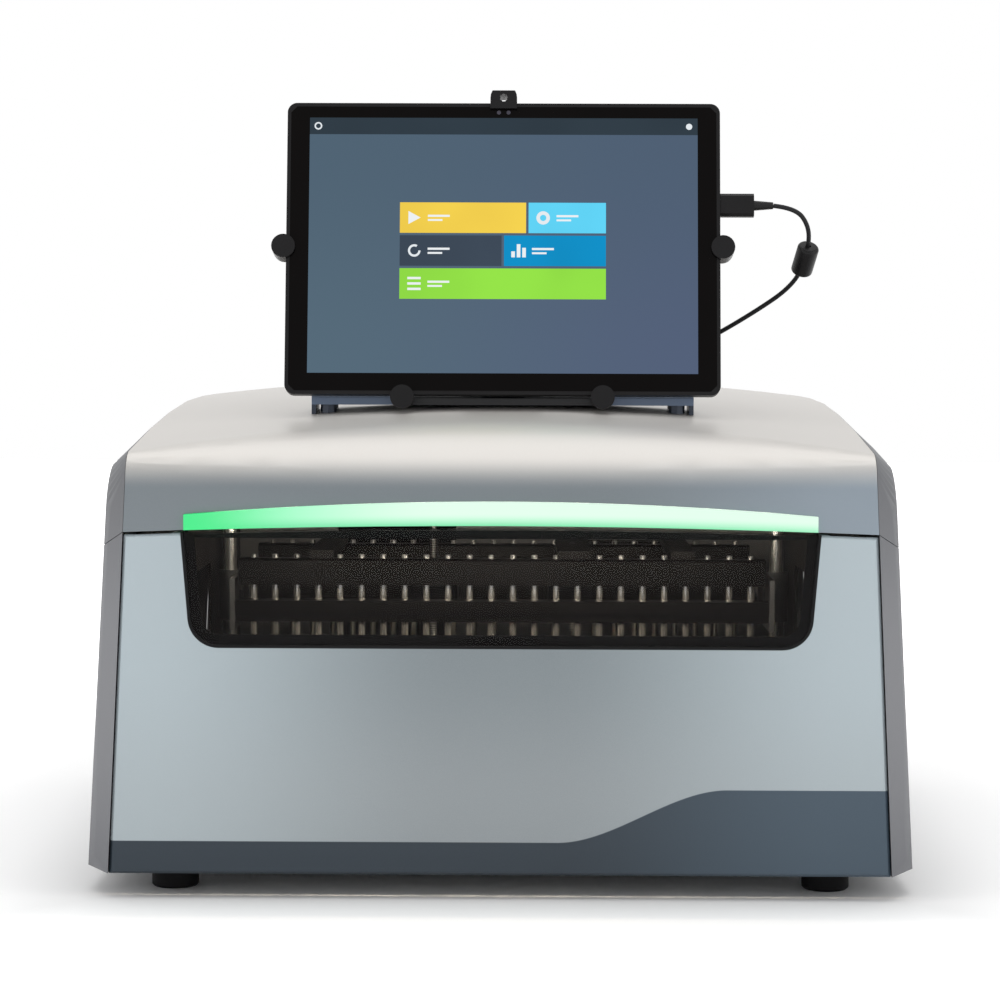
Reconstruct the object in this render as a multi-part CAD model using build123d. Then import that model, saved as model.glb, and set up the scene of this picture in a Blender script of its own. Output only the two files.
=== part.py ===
from build123d import *
import math
import os

# Bench-top nucleic acid extractor, millimetres.
# X is to the right seen from the front, Y goes to the back, Z is up; the feet stand on Z = 0
# and the origin is under the middle of the body.

# ---- widths, from the sample columns outwards ----
COLUMNS = 24              # sample columns in a row
PITCH = 18.0              # between two columns
LAST_COLUMN = (COLUMNS - 1) * PITCH / 2
BAR_END = 15.0            # bars of the head past the last column
BAR_REACH = LAST_COLUMN + BAR_END
SHAFT_OUT = 14.0          # guide shafts past the bars
SHAFT_X = BAR_REACH + SHAFT_OUT
TRAY_HALF = COLUMNS * PITCH / 2
HEATER_INSET = 4.0
HEATER_HALF = TRAY_HALF - HEATER_INSET
TRAY_MARGIN = 9.0         # platform past the trays
PLATE_HALF = TRAY_HALF + TRAY_MARGIN
SHAFT_RADIUS = 6.0
BUSH_WALL = 4.0           # wall of the bushes round the shafts
BUSH_TO_FRAME = 1.0
FRAME_HALF = SHAFT_X + SHAFT_RADIUS + BUSH_WALL + BUSH_TO_FRAME
SLIDE_SPACE = FRAME_HALF - PLATE_HALF
FRAME_PLATE = 3.0
SIDE_SPACE = 41.5         # frame plates to the edge of the silver strip
EDGE_HALF = FRAME_HALF + FRAME_PLATE + SIDE_SPACE
EDGE_LEAN = 0.047         # outward lean of the silver strip's sides, mm per mm down
SIDE_OUT_LOW = 36.5       # side panels past the strip's edge, at FLOOR
SIDE_OUT_HIGH = 20.0      # and at SIDE_HIGH_Z
WALL = 3.0                # moulded wall

# ---- depths, behind the front plane ----
FRONT = -318.0            # Y of the front plane of door and hood
BODY_DEPTH = 636.5        # front plane to the back of the rear panel
TRAY_FRONT = 75.0
TRAY_LENGTH = 164.0
TRAY_SPACE = 12.0         # between the two trays
REAR_TRAY = TRAY_FRONT + TRAY_LENGTH + TRAY_SPACE
PLATE_LAP = 5.0           # platform past the trays, front and back
PLATFORM_FRONT = TRAY_FRONT - PLATE_LAP
PLATFORM_BACK = REAR_TRAY + TRAY_LENGTH + PLATE_LAP
ROW_IN_TRAY = 81.0        # row of rods behind the front of its tray
ROW_FRONT = TRAY_FRONT + ROW_IN_TRAY
ROW_REAR = REAR_TRAY + ROW_IN_TRAY
HEAD_DEPTH = (ROW_FRONT + ROW_REAR) / 2
FRAME_FRONT = 34.0
FRAME_BACK = PLATFORM_BACK + 20.0

# ---- hood form ----
FLOOR = 20.0              # underside of the housing
TOP_REAR = 384.7          # height of the silver edge at the back
TOP_RISE = 35.7           # rise of that edge from front to back
RISE_DEPTH = 480.0
RISE_POWER = 1.7
EDGE_Z = TOP_REAR - TOP_RISE
CROWN = 17.5              # extra height in the middle
NOSE_RADIUS_MID = 62.0
NOSE_RADIUS_EDGE = 14.0
REAR_RADIUS = 9.0
ROUND_WEIGHT = 0.72       # fullness of the rounded nose and back
SKIRT_DROP = 19.0         # lower edge of the hood at the back, under the front edge
HOOD_SKIRT_Z = EDGE_Z - SKIRT_DROP
SEAM_END = 286.0          # top edge of the door at its ends
SEAM_MID = 292.0          # top edge of the door in the middle
SEAM_GAP = 2.2
SIDE_SEAM_RISE = 2.0      # side seam over SEAM_END at the front edge
SIDE_SEAM_DROP = 12.5     # its fall across the front flare
SIDE_SEAM_FALL = 3.0      # its fall from there to the back
PANEL_GAP = 0.6
FIT_GAP = 0.3

# ---- side panels ----
FLARE_DEPTH = 38.0        # depth of the front flare
TOP_FLARE = 19.0          # height of the upper flare
REAR_FLARE = 11.0
FLARE_NOSE = 30.0
SIDE_HIGH_Z = EDGE_Z - TOP_FLARE

# ---- light bar ----
BAR_INSET = 45.0          # ends of the bar inside the strip's edge
BAR_HALF = EDGE_HALF - BAR_INSET
BAR_TOP_END = 302.0
BAR_TOP_MID = 312.8
BAR_PROUD = 3.5
BAR_DEPTH = 5.0

# ---- door ----
DOOR_DEPTH = 18.0
DOOR_SKIN = 2.0
DOOR_EDGE_CUT = 2.2
LINER = 4.0
LINER_LAP = 12.0          # liner over the edge of the pane
DOOR_SIDE_GAP = 0.8
WINDOW_LOW = 200.0
WINDOW_HIGH = 284.0
WINDOW_OUT = 0.5          # top of the window past the light bar's ends
WINDOW_TAPER = 7.0        # window's half width from top to bottom
WINDOW_HALF_HIGH = BAR_HALF + WINDOW_OUT
WINDOW_HALF_LOW = WINDOW_HALF_HIGH - WINDOW_TAPER
WINDOW_CORNER = 22.0
PANE = 4.0
PANE_RECESS = 0.5
GASKET = 2.2
HINGE_DEPTH = 5.5         # hinge axis behind the front plane
HINGE_DROP = 3.5          # hinge axis under the door's top corner
HINGE_Z = SEAM_END - HINGE_DROP
HINGE_INSET = 20.5        # hinge inside the strip's edge
HINGE_X = EDGE_HALF - HINGE_INSET
KNUCKLE_RADIUS = 3.0
KNUCKLE_SIDE = 8.0
KNUCKLE_GAP = 1.0
HINGE_PIN_RADIUS = 1.5
ARM_HALF = 5.0
ARM_THICK = 4.0

# ---- inner frame ----
PAN = 3.0
PAN_FLANGE = 30.0
PAN_SLOT = 6.0
PAN_SLOT_LENGTH = 80.0
FRAME_TOP = 326.0
FRAME_HOLE_LOW = 120.0
FRAME_HOLE_TOP = 250.0
FRAME_HOLE_CUT = 12.0     # cut corners of the frame plates' windows
BRIDGE = 6.0
BRIDGE_HALF = 55.0        # half depth of the bridge
SHAFT_LOW = 104.0
SHAFT_SEAT = 4.0          # bracket left under the shaft
BRACKET = 14.0
BUSH_CLEARANCE = 0.05
SCREW_RADIUS = 3.0
LIFT_SCREW_LOW = 152.0
MAGNET_SCREW_LOW = 188.0

# ---- head ----
PLUNGER_Z = 212.0
PLUNGER_BAR = 10.0
BAR_WIDTH = 20.0
COLLAR_RADIUS = 5.5
COLLAR = 8.0
ROD_RADIUS = 3.0
ROD_SIDES = 6
ROD_CLEARANCE = 0.4
ROD_LOW = 168.0
MAGNET_Z = 235.0
MAGNET_BAR = 22.0
MAGNET_INSET = 3.0        # magnet bars inside the plunger bars' ends
END_PLATE = 4.0
END_DOWN = 15.0           # end castings under the plunger bars
END_UP = 18.0             # and over them
CROSS_LOW = 197.0
CROSS = 8.0
CROSS_WIDTH = 20.0
MOTOR_SIDE = 42.0
MOTOR_HEIGHT = 38.0
MOTOR_X = 60.0
MAGNET_RAIL = 7.0
MAGNET_RAIL_X = 150.0

# ---- ultraviolet lamp ----
LAMP_DEPTH = 66.0
LAMP_Z = 306.0
LAMP_RADIUS = 7.5
LAMP_CAP = 18.0           # lamp holders' reach along the tube

# ---- platform ----
PLATE_LOW = 58.0
PLATE = 3.0
FLANGE_TOP = 95.0
HEATER = 8.0
HEATER_LAP = 5.0          # trays past the heater, front and back
TRAY_TOP = 146.0
TRAY_WALL = 3.0
TRAY_CORNER = 6.0
RIB = 5.0                 # height of the ribs that locate the reagent strips
RIB_WIDTH = 2.0
SLIDE_MID_Z = 77.5
SLIDE_HEIGHT = 34.4
SLIDE_SHEET = 2.0
SLIDE_GAP = 0.3

# ---- feet ----
FOOT_RADIUS = 19.0
FOOT_SIDES = 20
FOOT_INSET = 30.5
FOOT_X = EDGE_HALF - FOOT_INSET
FOOT_FRONT = 60.0
FOOT_BACK = BODY_DEPTH - 56.5

# ---- back panel and what is behind it ----
REAR_SHEET = 2.0
FAN_X = 120.0
FAN_Z = 200.0
FAN_SIDE = 80.0
FAN_DEPTH = 25.0
FAN_RADIUS = 37.0
FAN_SIDES = 28
FAN_HUB = 15.0
FAN_BLADES = 7
FAN_PIN = 3.0
INLET_X = -205.0
INLET_Z = 75.0
INLET_HALF = 13.7         # half width of the inlet's body
INLET_RISE = 9.7          # half height of the inlet's body
BEZEL = 1.5
BEZEL_LAP = 3.3
ROCKER_Z = 118.0
ROCKER_HALF = 7.2
ROCKER_PIN = 1.5
ROCKER_WELL = 12.5        # half height of the well that the rocker turns in
SLOT_COUNT = 9
SLOT_PITCH = 14.0
SLOT_LEFT = -170.0
SLOT_LENGTH = 110.0
SLOT_HEIGHT = 5.0
SUPPLY_LEFT = -235.0
SUPPLY_WIDTH = 145.0
SUPPLY_LENGTH = 120.0
SUPPLY_HEIGHT = 48.0
SUPPLY_BACK = BODY_DEPTH - 46.5
BOARD_LEFT = -40.0
BOARD_WIDTH = 240.0
BOARD_LENGTH = 130.0
BOARD_BACK = BODY_DEPTH - 36.5
BOARD = 1.6
STANDOFF = 10.0

# ---- tablet and its holder ----
TABLET_DEPTH = 119.0      # foot of the tablet's glass behind the front plane
TABLET_LEAN = 9.2         # degrees back from upright
TABLET_HALF = 178.5
TABLET_HEIGHT = 243.0
TABLET_THICK = 13.0
TABLET_CORNER = 8.0
BEZEL_EDGE = 3.0          # case round the glass
GLASS = 1.2
GLASS_GAP = 0.1
PORT_W = -6.3             # middle of the port, under the glass
TILT_BEHIND = 24.0        # tilt axis behind the tablet
TILT_DEPTH = TABLET_DEPTH + TABLET_THICK + TILT_BEHIND
BARREL_RADIUS = 9.0
BARREL_HALF = 20.0
PIN_RADIUS = 4.0
CHEEK_WIDTH = 11.7
STAND_HALF = 157.5
STAND_AHEAD = 17.0        # front of the stand ahead of the tilt axis
STAND_FRONT = TILT_DEPTH - STAND_AHEAD
STAND_DEEP = 40.0
STAND_LIFT = 2.76         # bar over the roof's middle
STAND_BAR = 7.0
STAND_PLATE = 3.6         # upright plates at the bar's ends
PILLAR_RADIUS = 6.5
PILLAR_SIDES = 8
PILLAR_INSET = 13.5       # pillars inside the bar's ends
AXIS_OVER_BAR = 19.0
TABLET_OVER_BAR = 9.0
CLAW_RADIUS = 9.8
DISC_SIDES = 24
CLAW_SIDE_V = 122.5
CLAW_LOW_U = 82.0
CLAW_LIP = 4.0
CLAW_ARM = 12.0
CLAW_REACH = 84.0
TOP_REACH = 52.0
SPIDER = 5.0
SPIDER_PLATE = 4.0
PLUG_V = 159.0            # height of the link plug up the tablet's edge
PLUG_LENGTH = 28.0
RELIEF = 15.9             # length of the plug's strain relief
RELIEF_TAPER = 4.6        # degrees
POWER_U = 120.0
POWER_HALF = 9.0
VOLUME_U = 80.0
VOLUME_HALF = 16.0
BUTTON_DEEP = 4.0
BUTTON_HALF = 2.0         # half thickness of the buttons' slots

# ---- link cable ----
GLAND_X = 62.0
GLAND_DEPTH = 252.0
GLAND_RADIUS = 7.0
GLAND_SIDES = 12
GLAND_AIM = (0.90, -0.33, 0.28)
GLAND_REACH = 14.0
CABLE_RADIUS = 1.9
CABLE_SIDES = 8
FERRITE_RADIUS = 9.0
FERRITE_SIDES = 16
FERRITE = 27.0

os.makedirs("parts", exist_ok=True)


def at(depth):
    """World Y of a depth behind the front plane."""
    return FRONT + depth


def block(x0, x1, d0, d1, z0, z1):
    """Box between two X, two depths and two heights."""
    size = (x1 - x0, d1 - d0, z1 - z0)
    middle = ((x0 + x1) / 2, at((d0 + d1) / 2), (z0 + z1) / 2)
    return Pos(*middle) * Box(*size)


def post(x, depth, z0, z1, radius):
    """Upright cylinder."""
    return Pos(x, at(depth), (z0 + z1) / 2) * Cylinder(radius, z1 - z0)


def facet_post(x, depth, z0, z1, radius, sides):
    """Upright prism with a regular outline."""
    face = Plane(origin=(x, at(depth), z0)) * RegularPolygon(radius, sides)
    return extrude(face, amount=z1 - z0)


def facet_x(x0, x1, depth, z, radius, sides):
    """Prism along X whose flats stand at a radius from its axis."""
    face = Plane(origin=(x0, at(depth), z), x_dir=(0, 1, 0), z_dir=(1, 0, 0)) * RegularPolygon(
        radius, sides, major_radius=False)
    return extrude(face, amount=x1 - x0)


def facet_y(x, d0, d1, z, radius, sides):
    """Prism along Y whose flats stand at a radius from its axis."""
    face = Plane(origin=(x, at(d0), z), x_dir=(1, 0, 0), z_dir=(0, 1, 0)) * RegularPolygon(
        radius, sides, major_radius=False)
    return extrude(face, amount=d1 - d0)


def along_x(x0, x1, depth, z, radius):
    """Cylinder along X."""
    return Pos((x0 + x1) / 2, at(depth), z) * Rot(0, 90, 0) * Cylinder(radius, x1 - x0)


def along_y(x, d0, d1, z, radius):
    """Cylinder along Y."""
    return Pos(x, at((d0 + d1) / 2), z) * Rot(90, 0, 0) * Cylinder(radius, d1 - d0)


def both(shape):
    """A shape and its mirror image about the middle plane."""
    return [shape, mirror(shape, about=Plane.YZ)]


def keep(name, *shapes):
    """Write one node, made of one or more separate solids."""
    solids = [s for shape in shapes for s in shape.solids()]
    part = solids[0] if len(solids) == 1 else Compound(children=solids)
    export_step(part, f"parts/{name}.step")


# ---------------------------------------------------------------- body form

def edge_half(z):
    """Half width of the silver strip at a height."""
    return EDGE_HALF + (EDGE_Z - z) * EDGE_LEAN


SIDE_LEAN = (SIDE_OUT_LOW - SIDE_OUT_HIGH) / (SIDE_HIGH_Z - FLOOR)


def side_half(z):
    """Half width of the side panels at a height."""
    return EDGE_HALF + SIDE_OUT_LOW - (z - FLOOR) * SIDE_LEAN


def top_edge(depth):
    """Height of the silver edge at a depth."""
    left = max(0.0, 1 - depth / RISE_DEPTH)
    return TOP_REAR - TOP_RISE * left ** RISE_POWER


def roof_z(x, depth):
    """Height of the roof's outer face."""
    return top_edge(depth) + CROWN * (1 - (x / EDGE_HALF) ** 2)


def round_corner(a, corner, b, steps):
    """Points from a to b on the round whose end tangents meet at the corner."""
    points = []
    for k in range(steps + 1):
        t = k / steps
        shares = ((1 - t) ** 2, 2 * ROUND_WEIGHT * t * (1 - t), t ** 2)
        total = sum(shares)
        points.append(tuple(sum(w * p[i] for w, p in zip(shares, (a, corner, b))) / total
                            for i in (0, 1)))
    return points


def form_profile(start, stop, low, nose, top):
    """Side view of the housing: rounded nose, rising top and rounded back, in short chords."""
    nose_end = start + nose
    slope = top(nose_end + 1) - top(nose_end)
    corner = top(nose_end) - slope * nose
    heel = stop - REAR_RADIUS
    front = round_corner((start, corner - nose), (start, corner), (nose_end, top(nose_end)), 6)
    middle = [nose_end + (heel - nose_end) * k / 5 for k in range(1, 5)]
    back = round_corner((heel, top(heel)), (stop, top(stop)), (stop, top(stop) - REAR_RADIUS), 3)
    return [(start, low)] + front + [(d, top(d)) for d in middle] + back + [(stop, low)]


def hood_outline(x, inset, low):
    """Closed outline of the hood at one X."""
    share = 1 - (x / EDGE_HALF) ** 2
    nose = NOSE_RADIUS_EDGE + (NOSE_RADIUS_MID - NOSE_RADIUS_EDGE) * share
    profile = form_profile(inset, BODY_DEPTH - inset, low, nose, lambda d: roof_z(x, d) - inset)
    return Polyline(*[(x, at(d), z) for d, z in profile], close=True)


def hood_block(inset, low):
    """The full form under the hood's skin, or that form inset for its hollow."""
    reach = EDGE_HALF * 1.03
    return Solid.make_loft([Wire(hood_outline(x, inset, low).edges()) for x in (-reach, 0, reach)])


def strip(gap, low, high):
    """Prism of the silver strip's leaning sides, held back by a gap."""
    a, b = edge_half(low) - gap, edge_half(high) - gap
    outline = Polyline((-a, low), (a, low), (b, high), (-b, high), close=True)
    face = make_face(Plane.XZ.offset(-at(-20)) * outline)
    return extrude(face, amount=BODY_DEPTH + 60, dir=(0, 1, 0))


def arch(half, z_end, z_mid, low, d0, d1):
    """Block whose top is an arc from end to end."""
    arc = ThreePointArc((half, z_end), (0, z_mid), (-half, z_end))
    outline = arc + Polyline((-half, z_end), (-half, low), (half, low), (half, z_end))
    face = make_face(Plane.XZ.offset(-at(d0)) * outline)
    return extrude(face, amount=d1 - d0, dir=(0, 1, 0))


def seam_arch(lift, low, d0, d1):
    """Everything below the seam line between door and hood, raised by a lift."""
    half = edge_half(SEAM_END) + 20
    bow = (SEAM_MID - SEAM_END) / edge_half(SEAM_END) ** 2
    return arch(half, SEAM_MID - bow * half ** 2 + lift, SEAM_MID + lift, low, d0, d1)


# ---------------------------------------------------------------- housing

def light_bar_form(grow, d0, d1):
    """Lens-shaped bar that stands on the hood's lower edge."""
    upper = arch(BAR_HALF + grow, BAR_TOP_END + grow, BAR_TOP_MID + grow, SEAM_END - 8, d0, d1)
    return upper - seam_arch(SEAM_GAP, SEAM_END - 40, d0 - 1, d1 + 1)


def hood_shell():
    """Silver moulding that wraps the front top, the roof and the top of the back."""
    low = SEAM_END - 30
    shell = hood_block(0, low) - hood_block(WALL, low - 20)
    shell -= seam_arch(SEAM_GAP, low - 5, -5, 60)
    shell -= block(-2 * EDGE_HALF, 2 * EDGE_HALF, 60, BODY_DEPTH + 5, low - 5, HOOD_SKIRT_Z)
    shell = shell & strip(FIT_GAP, low - 40, TOP_REAR + 2 * CROWN)
    shell -= arch(BAR_HALF + FIT_GAP, BAR_TOP_END + FIT_GAP, BAR_TOP_MID + FIT_GAP,
                  SEAM_END - 8, -5, WALL + 3)
    roof = roof_z(GLAND_X, GLAND_DEPTH)
    return shell - post(GLAND_X, GLAND_DEPTH, roof - 20, roof + 20, GLAND_RADIUS + FIT_GAP)


def side_outline(half_at, lean, front, rear, drop, nose, inset):
    """Outline of a side panel in its own leaning plane."""
    tilt = math.atan(lean)
    plane = Plane(origin=(half_at(0), at(0), 0), x_dir=(0, 1, 0),
                  z_dir=(math.cos(tilt), 0, math.sin(tilt)))
    profile = form_profile(front + inset, rear - inset, FLOOR + inset, nose,
                           lambda d: top_edge(d) - drop - inset)
    rise = 1 / math.cos(tilt)
    return Wire((plane * Polyline(*[(d, z * rise) for d, z in profile], close=True)).edges())


def side_form(inset, open_in):
    """Right-hand side panel form, flared at its front, top and back."""
    inner = side_outline(lambda z: edge_half(z) - open_in, EDGE_LEAN, 0, BODY_DEPTH, 0,
                         NOSE_RADIUS_EDGE, inset)
    outer = side_outline(lambda z: side_half(z) - inset, SIDE_LEAN, FLARE_DEPTH,
                         BODY_DEPTH - REAR_FLARE, TOP_FLARE, FLARE_NOSE, inset)
    return Solid.make_loft([inner, outer], ruled=True)


def seam_wedge(lift):
    """Everything under the side seam, which falls across the flare and then runs nearly level."""
    z0 = SEAM_END + SIDE_SEAM_RISE + lift
    z1 = z0 - SIDE_SEAM_DROP
    back = at(BODY_DEPTH + 20)
    outline = Polyline((at(-10), -20), (at(-10), z0), (at(0), z0), (at(FLARE_DEPTH), z1),
                       (back, z1 - SIDE_SEAM_FALL), (back, -20), close=True)
    return extrude(make_face(Plane.YZ * outline), amount=2 * EDGE_HALF, dir=(1, 0, 0))


def side_shell():
    """Right-hand side moulding before it is parted at the seam."""
    return side_form(0, 0) - side_form(WALL, 2)


# ---------------------------------------------------------------- door

def window_outline(grow, top):
    """Window opening: leaning sides, round lower corners, open upwards."""
    lean = (WINDOW_HALF_HIGH - WINDOW_HALF_LOW) / (WINDOW_HIGH - WINDOW_LOW)
    half_low = WINDOW_HALF_LOW + grow - lean * grow
    half_top = WINDOW_HALF_HIGH + grow + lean * (top - WINDOW_HIGH)
    sketch = make_face(Polyline((-half_low, WINDOW_LOW - grow), (half_low, WINDOW_LOW - grow),
                                (half_top, top), (-half_top, top), close=True))
    corners = sketch.vertices().sort_by(Axis.Y)[:2]
    return fillet(corners, WINDOW_CORNER + grow)


def window_block(grow, top, d0, d1):
    """Window opening carried through a range of depths."""
    face = Plane.XZ.offset(-at(d0)) * window_outline(grow, top)
    return extrude(face, amount=d1 - d0, dir=(0, 1, 0))


def door_block(inset, d0, d1):
    """Door form between the side panels, arched on top."""
    body = strip(DOOR_SIDE_GAP + inset, FLOOR + inset, 320)
    body = body & seam_arch(-inset, FLOOR + inset, d0, d1)
    return body


def hinge_notches(half, low, d0, d1):
    """Room for the two hinges."""
    return both(block(HINGE_X - half, HINGE_X + half, d0, d1, low, SEAM_MID + 5))


def door_shell():
    """Silver front moulding of the door with its open-topped window notch."""
    body = door_block(0, 0, DOOR_DEPTH)
    rim = body.faces().sort_by(Axis.Y)[0].edges()
    body = chamfer(rim, DOOR_EDGE_CUT)
    body -= door_block(DOOR_SKIN, DOOR_SKIN, DOOR_DEPTH + 1)
    body -= window_block(GASKET, SEAM_MID + 5, -1, DOOR_DEPTH + 1)
    half = ARM_HALF + 2 * KNUCKLE_GAP + KNUCKLE_SIDE
    for notch in hinge_notches(half, HINGE_Z - KNUCKLE_RADIUS - 0.5, DOOR_SKIN, DOOR_DEPTH + 1):
        body -= notch
    return body


def door_liner():
    """Inner panel of the door with the view opening and the hinge knuckles."""
    d0 = DOOR_DEPTH - LINER
    body = door_block(DOOR_SKIN + FIT_GAP, d0, DOOR_DEPTH)
    body -= window_block(-LINER_LAP, HINGE_Z - 8, d0 - 1, DOOR_DEPTH + 1)
    for notch in hinge_notches(ARM_HALF + KNUCKLE_GAP, HINGE_Z - KNUCKLE_RADIUS, d0 - 1, DOOR_DEPTH + 1):
        body -= notch
    inner = HINGE_X - ARM_HALF - KNUCKLE_GAP - KNUCKLE_SIDE
    outer = HINGE_X + ARM_HALF + KNUCKLE_GAP
    for x in (inner, outer):
        knuckle = facet_x(x, x + KNUCKLE_SIDE, HINGE_DEPTH, HINGE_Z, KNUCKLE_RADIUS, 8)
        web = block(x, x + KNUCKLE_SIDE, HINGE_DEPTH, d0 + 1, HINGE_Z - KNUCKLE_RADIUS, HINGE_Z - 0.5)
        for piece in both(knuckle + web):
            body += piece
    bore = facet_x(inner - 1, outer + KNUCKLE_SIDE + 1, HINGE_DEPTH, HINGE_Z, HINGE_PIN_RADIUS, 8)
    for hole in both(bore):
        body -= hole
    return body


def door_pane():
    """Tinted window pane, flush with the door's front and top edge."""
    face = window_block(-FIT_GAP, SEAM_MID + 5, PANE_RECESS, PANE_RECESS + PANE)
    pane = face & seam_arch(0, FLOOR, -1, DOOR_DEPTH)
    return pane


def window_gasket():
    """Thin rubber channel round the sides and bottom of the pane."""
    ring = window_block(GASKET - FIT_GAP / 3, SEAM_MID + 5, 0.2, PANE + 3)
    ring -= window_block(0, SEAM_MID + 6, -1, PANE + PANE_RECESS + 0.1)
    ring -= window_block(-8, SEAM_MID + 6, -1, DOOR_DEPTH)
    return ring & seam_arch(0, FLOOR, -1, DOOR_DEPTH)


def hinge_arm():
    """Right-hand fixed arm of the door hinge, reaching forward from the frame plate."""
    x0, x1 = HINGE_X - ARM_HALF, HINGE_X + ARM_HALF
    arm = along_x(x0, x1, HINGE_DEPTH, HINGE_Z, KNUCKLE_RADIUS)
    half = ARM_THICK / 2
    arm += block(x0, x1, HINGE_DEPTH, FRAME_FRONT + 12, HINGE_Z - half, HINGE_Z + half)
    arm += block(FRAME_HALF + FRAME_PLATE, x1, FRAME_FRONT + 2, FRAME_FRONT + 12,
                 HINGE_Z - 14, HINGE_Z + half)
    arm -= along_x(x0 - 1, x1 + 1, HINGE_DEPTH, HINGE_Z, HINGE_PIN_RADIUS + BUSH_CLEARANCE)
    return arm


def hinge_pin():
    """Right-hand hinge pin, held by the door's knuckles."""
    reach = ARM_HALF + KNUCKLE_GAP + KNUCKLE_SIDE
    return along_x(HINGE_X - reach, HINGE_X + reach, HINGE_DEPTH, HINGE_Z, HINGE_PIN_RADIUS)


# ---------------------------------------------------------------- inner frame

def base_pan():
    """Folded steel pan that carries everything."""
    half = edge_half(FLOOR + PAN_FLANGE) - FIT_GAP
    back = BODY_DEPTH - REAR_SHEET
    pan = block(-half, half, DOOR_DEPTH + 4, back, FLOOR, FLOOR + PAN)
    for side in both(block(half - PAN, half, DOOR_DEPTH + 4, back, FLOOR, FLOOR + PAN_FLANGE)):
        pan += side
    for k in range(SLOT_COUNT):
        x = (k - SLOT_COUNT / 2) * SLOT_PITCH
        pan -= block(x, x + PAN_SLOT, FOOT_BACK - PAN_SLOT_LENGTH, FOOT_BACK, FLOOR - 1, FLOOR + PAN + 1)
    return pan


def side_window(x0, x1, d0, d1, z0, z1, cut):
    """Opening with cut corners through a plate that stands along Y."""
    hole = block(x0 - 1, x1 + 1, d0, d1, z0, z1)
    return chamfer(hole.edges().filter_by(Axis.X), cut)


def frame_plate():
    """Right-hand upright plate of the inner frame, with a window each side of the head."""
    x0, x1 = FRAME_HALF, FRAME_HALF + FRAME_PLATE
    plate = block(x0, x1, FRAME_FRONT, FRAME_BACK, FLOOR + PAN, FRAME_TOP)
    for d0, d1 in ((FRAME_FRONT + 46, HEAD_DEPTH - 45), (HEAD_DEPTH + 45, FRAME_BACK - 40)):
        plate -= side_window(x0, x1, d0, d1, FRAME_HOLE_LOW, FRAME_HOLE_TOP, FRAME_HOLE_CUT)
    return plate


def head_bridge():
    """Plate across the frame that carries the guide shafts and the lift screw."""
    reach = FRAME_HALF + FRAME_PLATE
    bridge = block(-reach, reach, HEAD_DEPTH - BRIDGE_HALF, HEAD_DEPTH + BRIDGE_HALF,
                   FRAME_TOP, FRAME_TOP + BRIDGE)
    for x in (-SHAFT_X, SHAFT_X):
        bridge -= post(x, HEAD_DEPTH, FRAME_TOP - 1, FRAME_TOP + BRIDGE + 1, SHAFT_RADIUS)
    bridge -= post(-MOTOR_X, HEAD_DEPTH, FRAME_TOP - 1, FRAME_TOP + BRIDGE + 1, SCREW_RADIUS)
    bridge -= post(MOTOR_X, HEAD_DEPTH, FRAME_TOP - 1, FRAME_TOP + BRIDGE + 1, SCREW_RADIUS + 3)
    return bridge


def shaft_bracket():
    """Right-hand lower bracket of a guide shaft."""
    bracket = block(SHAFT_X - SHAFT_RADIUS - BUSH_WALL, FRAME_HALF, HEAD_DEPTH - BRACKET,
                    HEAD_DEPTH + BRACKET, SHAFT_LOW, SHAFT_LOW + BRACKET)
    bracket -= post(SHAFT_X, HEAD_DEPTH, SHAFT_LOW + SHAFT_SEAT, SHAFT_LOW + BRACKET + 1, SHAFT_RADIUS)
    return bracket


# ---------------------------------------------------------------- head

def column_x(k):
    """X of a rod column."""
    return (k - (COLUMNS - 1) / 2) * PITCH


def plunger_bar(row):
    """Bar with a lip underneath and a bore for every rod."""
    bar = block(-BAR_REACH, BAR_REACH, row - BAR_WIDTH / 2, row + BAR_WIDTH / 2,
                PLUNGER_Z, PLUNGER_Z + PLUNGER_BAR)
    bar += block(-BAR_REACH, BAR_REACH, row - COLLAR_RADIUS, row + COLLAR_RADIUS,
                 PLUNGER_Z - COLLAR, PLUNGER_Z)
    bores = [facet_post(column_x(k), row, PLUNGER_Z - COLLAR - 1, PLUNGER_Z + PLUNGER_BAR + 1,
                        ROD_RADIUS + ROD_CLEARANCE, ROD_SIDES) for k in range(COLUMNS)]
    return bar - bores


def carriage_end():
    """Right-hand end casting that joins both plunger bars and runs on a guide shaft."""
    x0, x1 = BAR_REACH, BAR_REACH + END_PLATE
    z0, z1 = PLUNGER_Z - END_DOWN, PLUNGER_Z + PLUNGER_BAR + END_UP
    bush = SHAFT_RADIUS + BUSH_WALL
    end = block(x0, x1, ROW_FRONT - BAR_WIDTH / 2, ROW_REAR + BAR_WIDTH / 2, z0, z1)
    end += post(SHAFT_X, HEAD_DEPTH, z0, z1, bush)
    end += block(x1 - 1, SHAFT_X, HEAD_DEPTH - bush, HEAD_DEPTH + bush, z0, z1)
    end -= post(SHAFT_X, HEAD_DEPTH, z0 - 1, z1 + 1, SHAFT_RADIUS + BUSH_CLEARANCE)
    for d0, d1 in ((ROW_FRONT + 30, HEAD_DEPTH - 22), (HEAD_DEPTH + 22, ROW_REAR - 30)):
        end -= side_window(x0, x1, d0, d1, z0 + 8, z1 - 8, 8)
    return end


def carriage_beam():
    """Cross beam between the end castings, under both lift motors."""
    beam = block(-BAR_REACH, BAR_REACH, HEAD_DEPTH - CROSS_WIDTH / 2, HEAD_DEPTH + CROSS_WIDTH / 2,
                 CROSS_LOW, CROSS_LOW + CROSS)
    for x in (-MOTOR_X, MOTOR_X):
        pad = Pos(x, at(HEAD_DEPTH), CROSS_LOW + CROSS / 2) * Box(MOTOR_SIDE, MOTOR_SIDE, CROSS)
        beam += pad
        beam -= post(x, HEAD_DEPTH, CROSS_LOW - 1, CROSS_LOW + CROSS + 1, SCREW_RADIUS + 2)
    return beam


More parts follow.
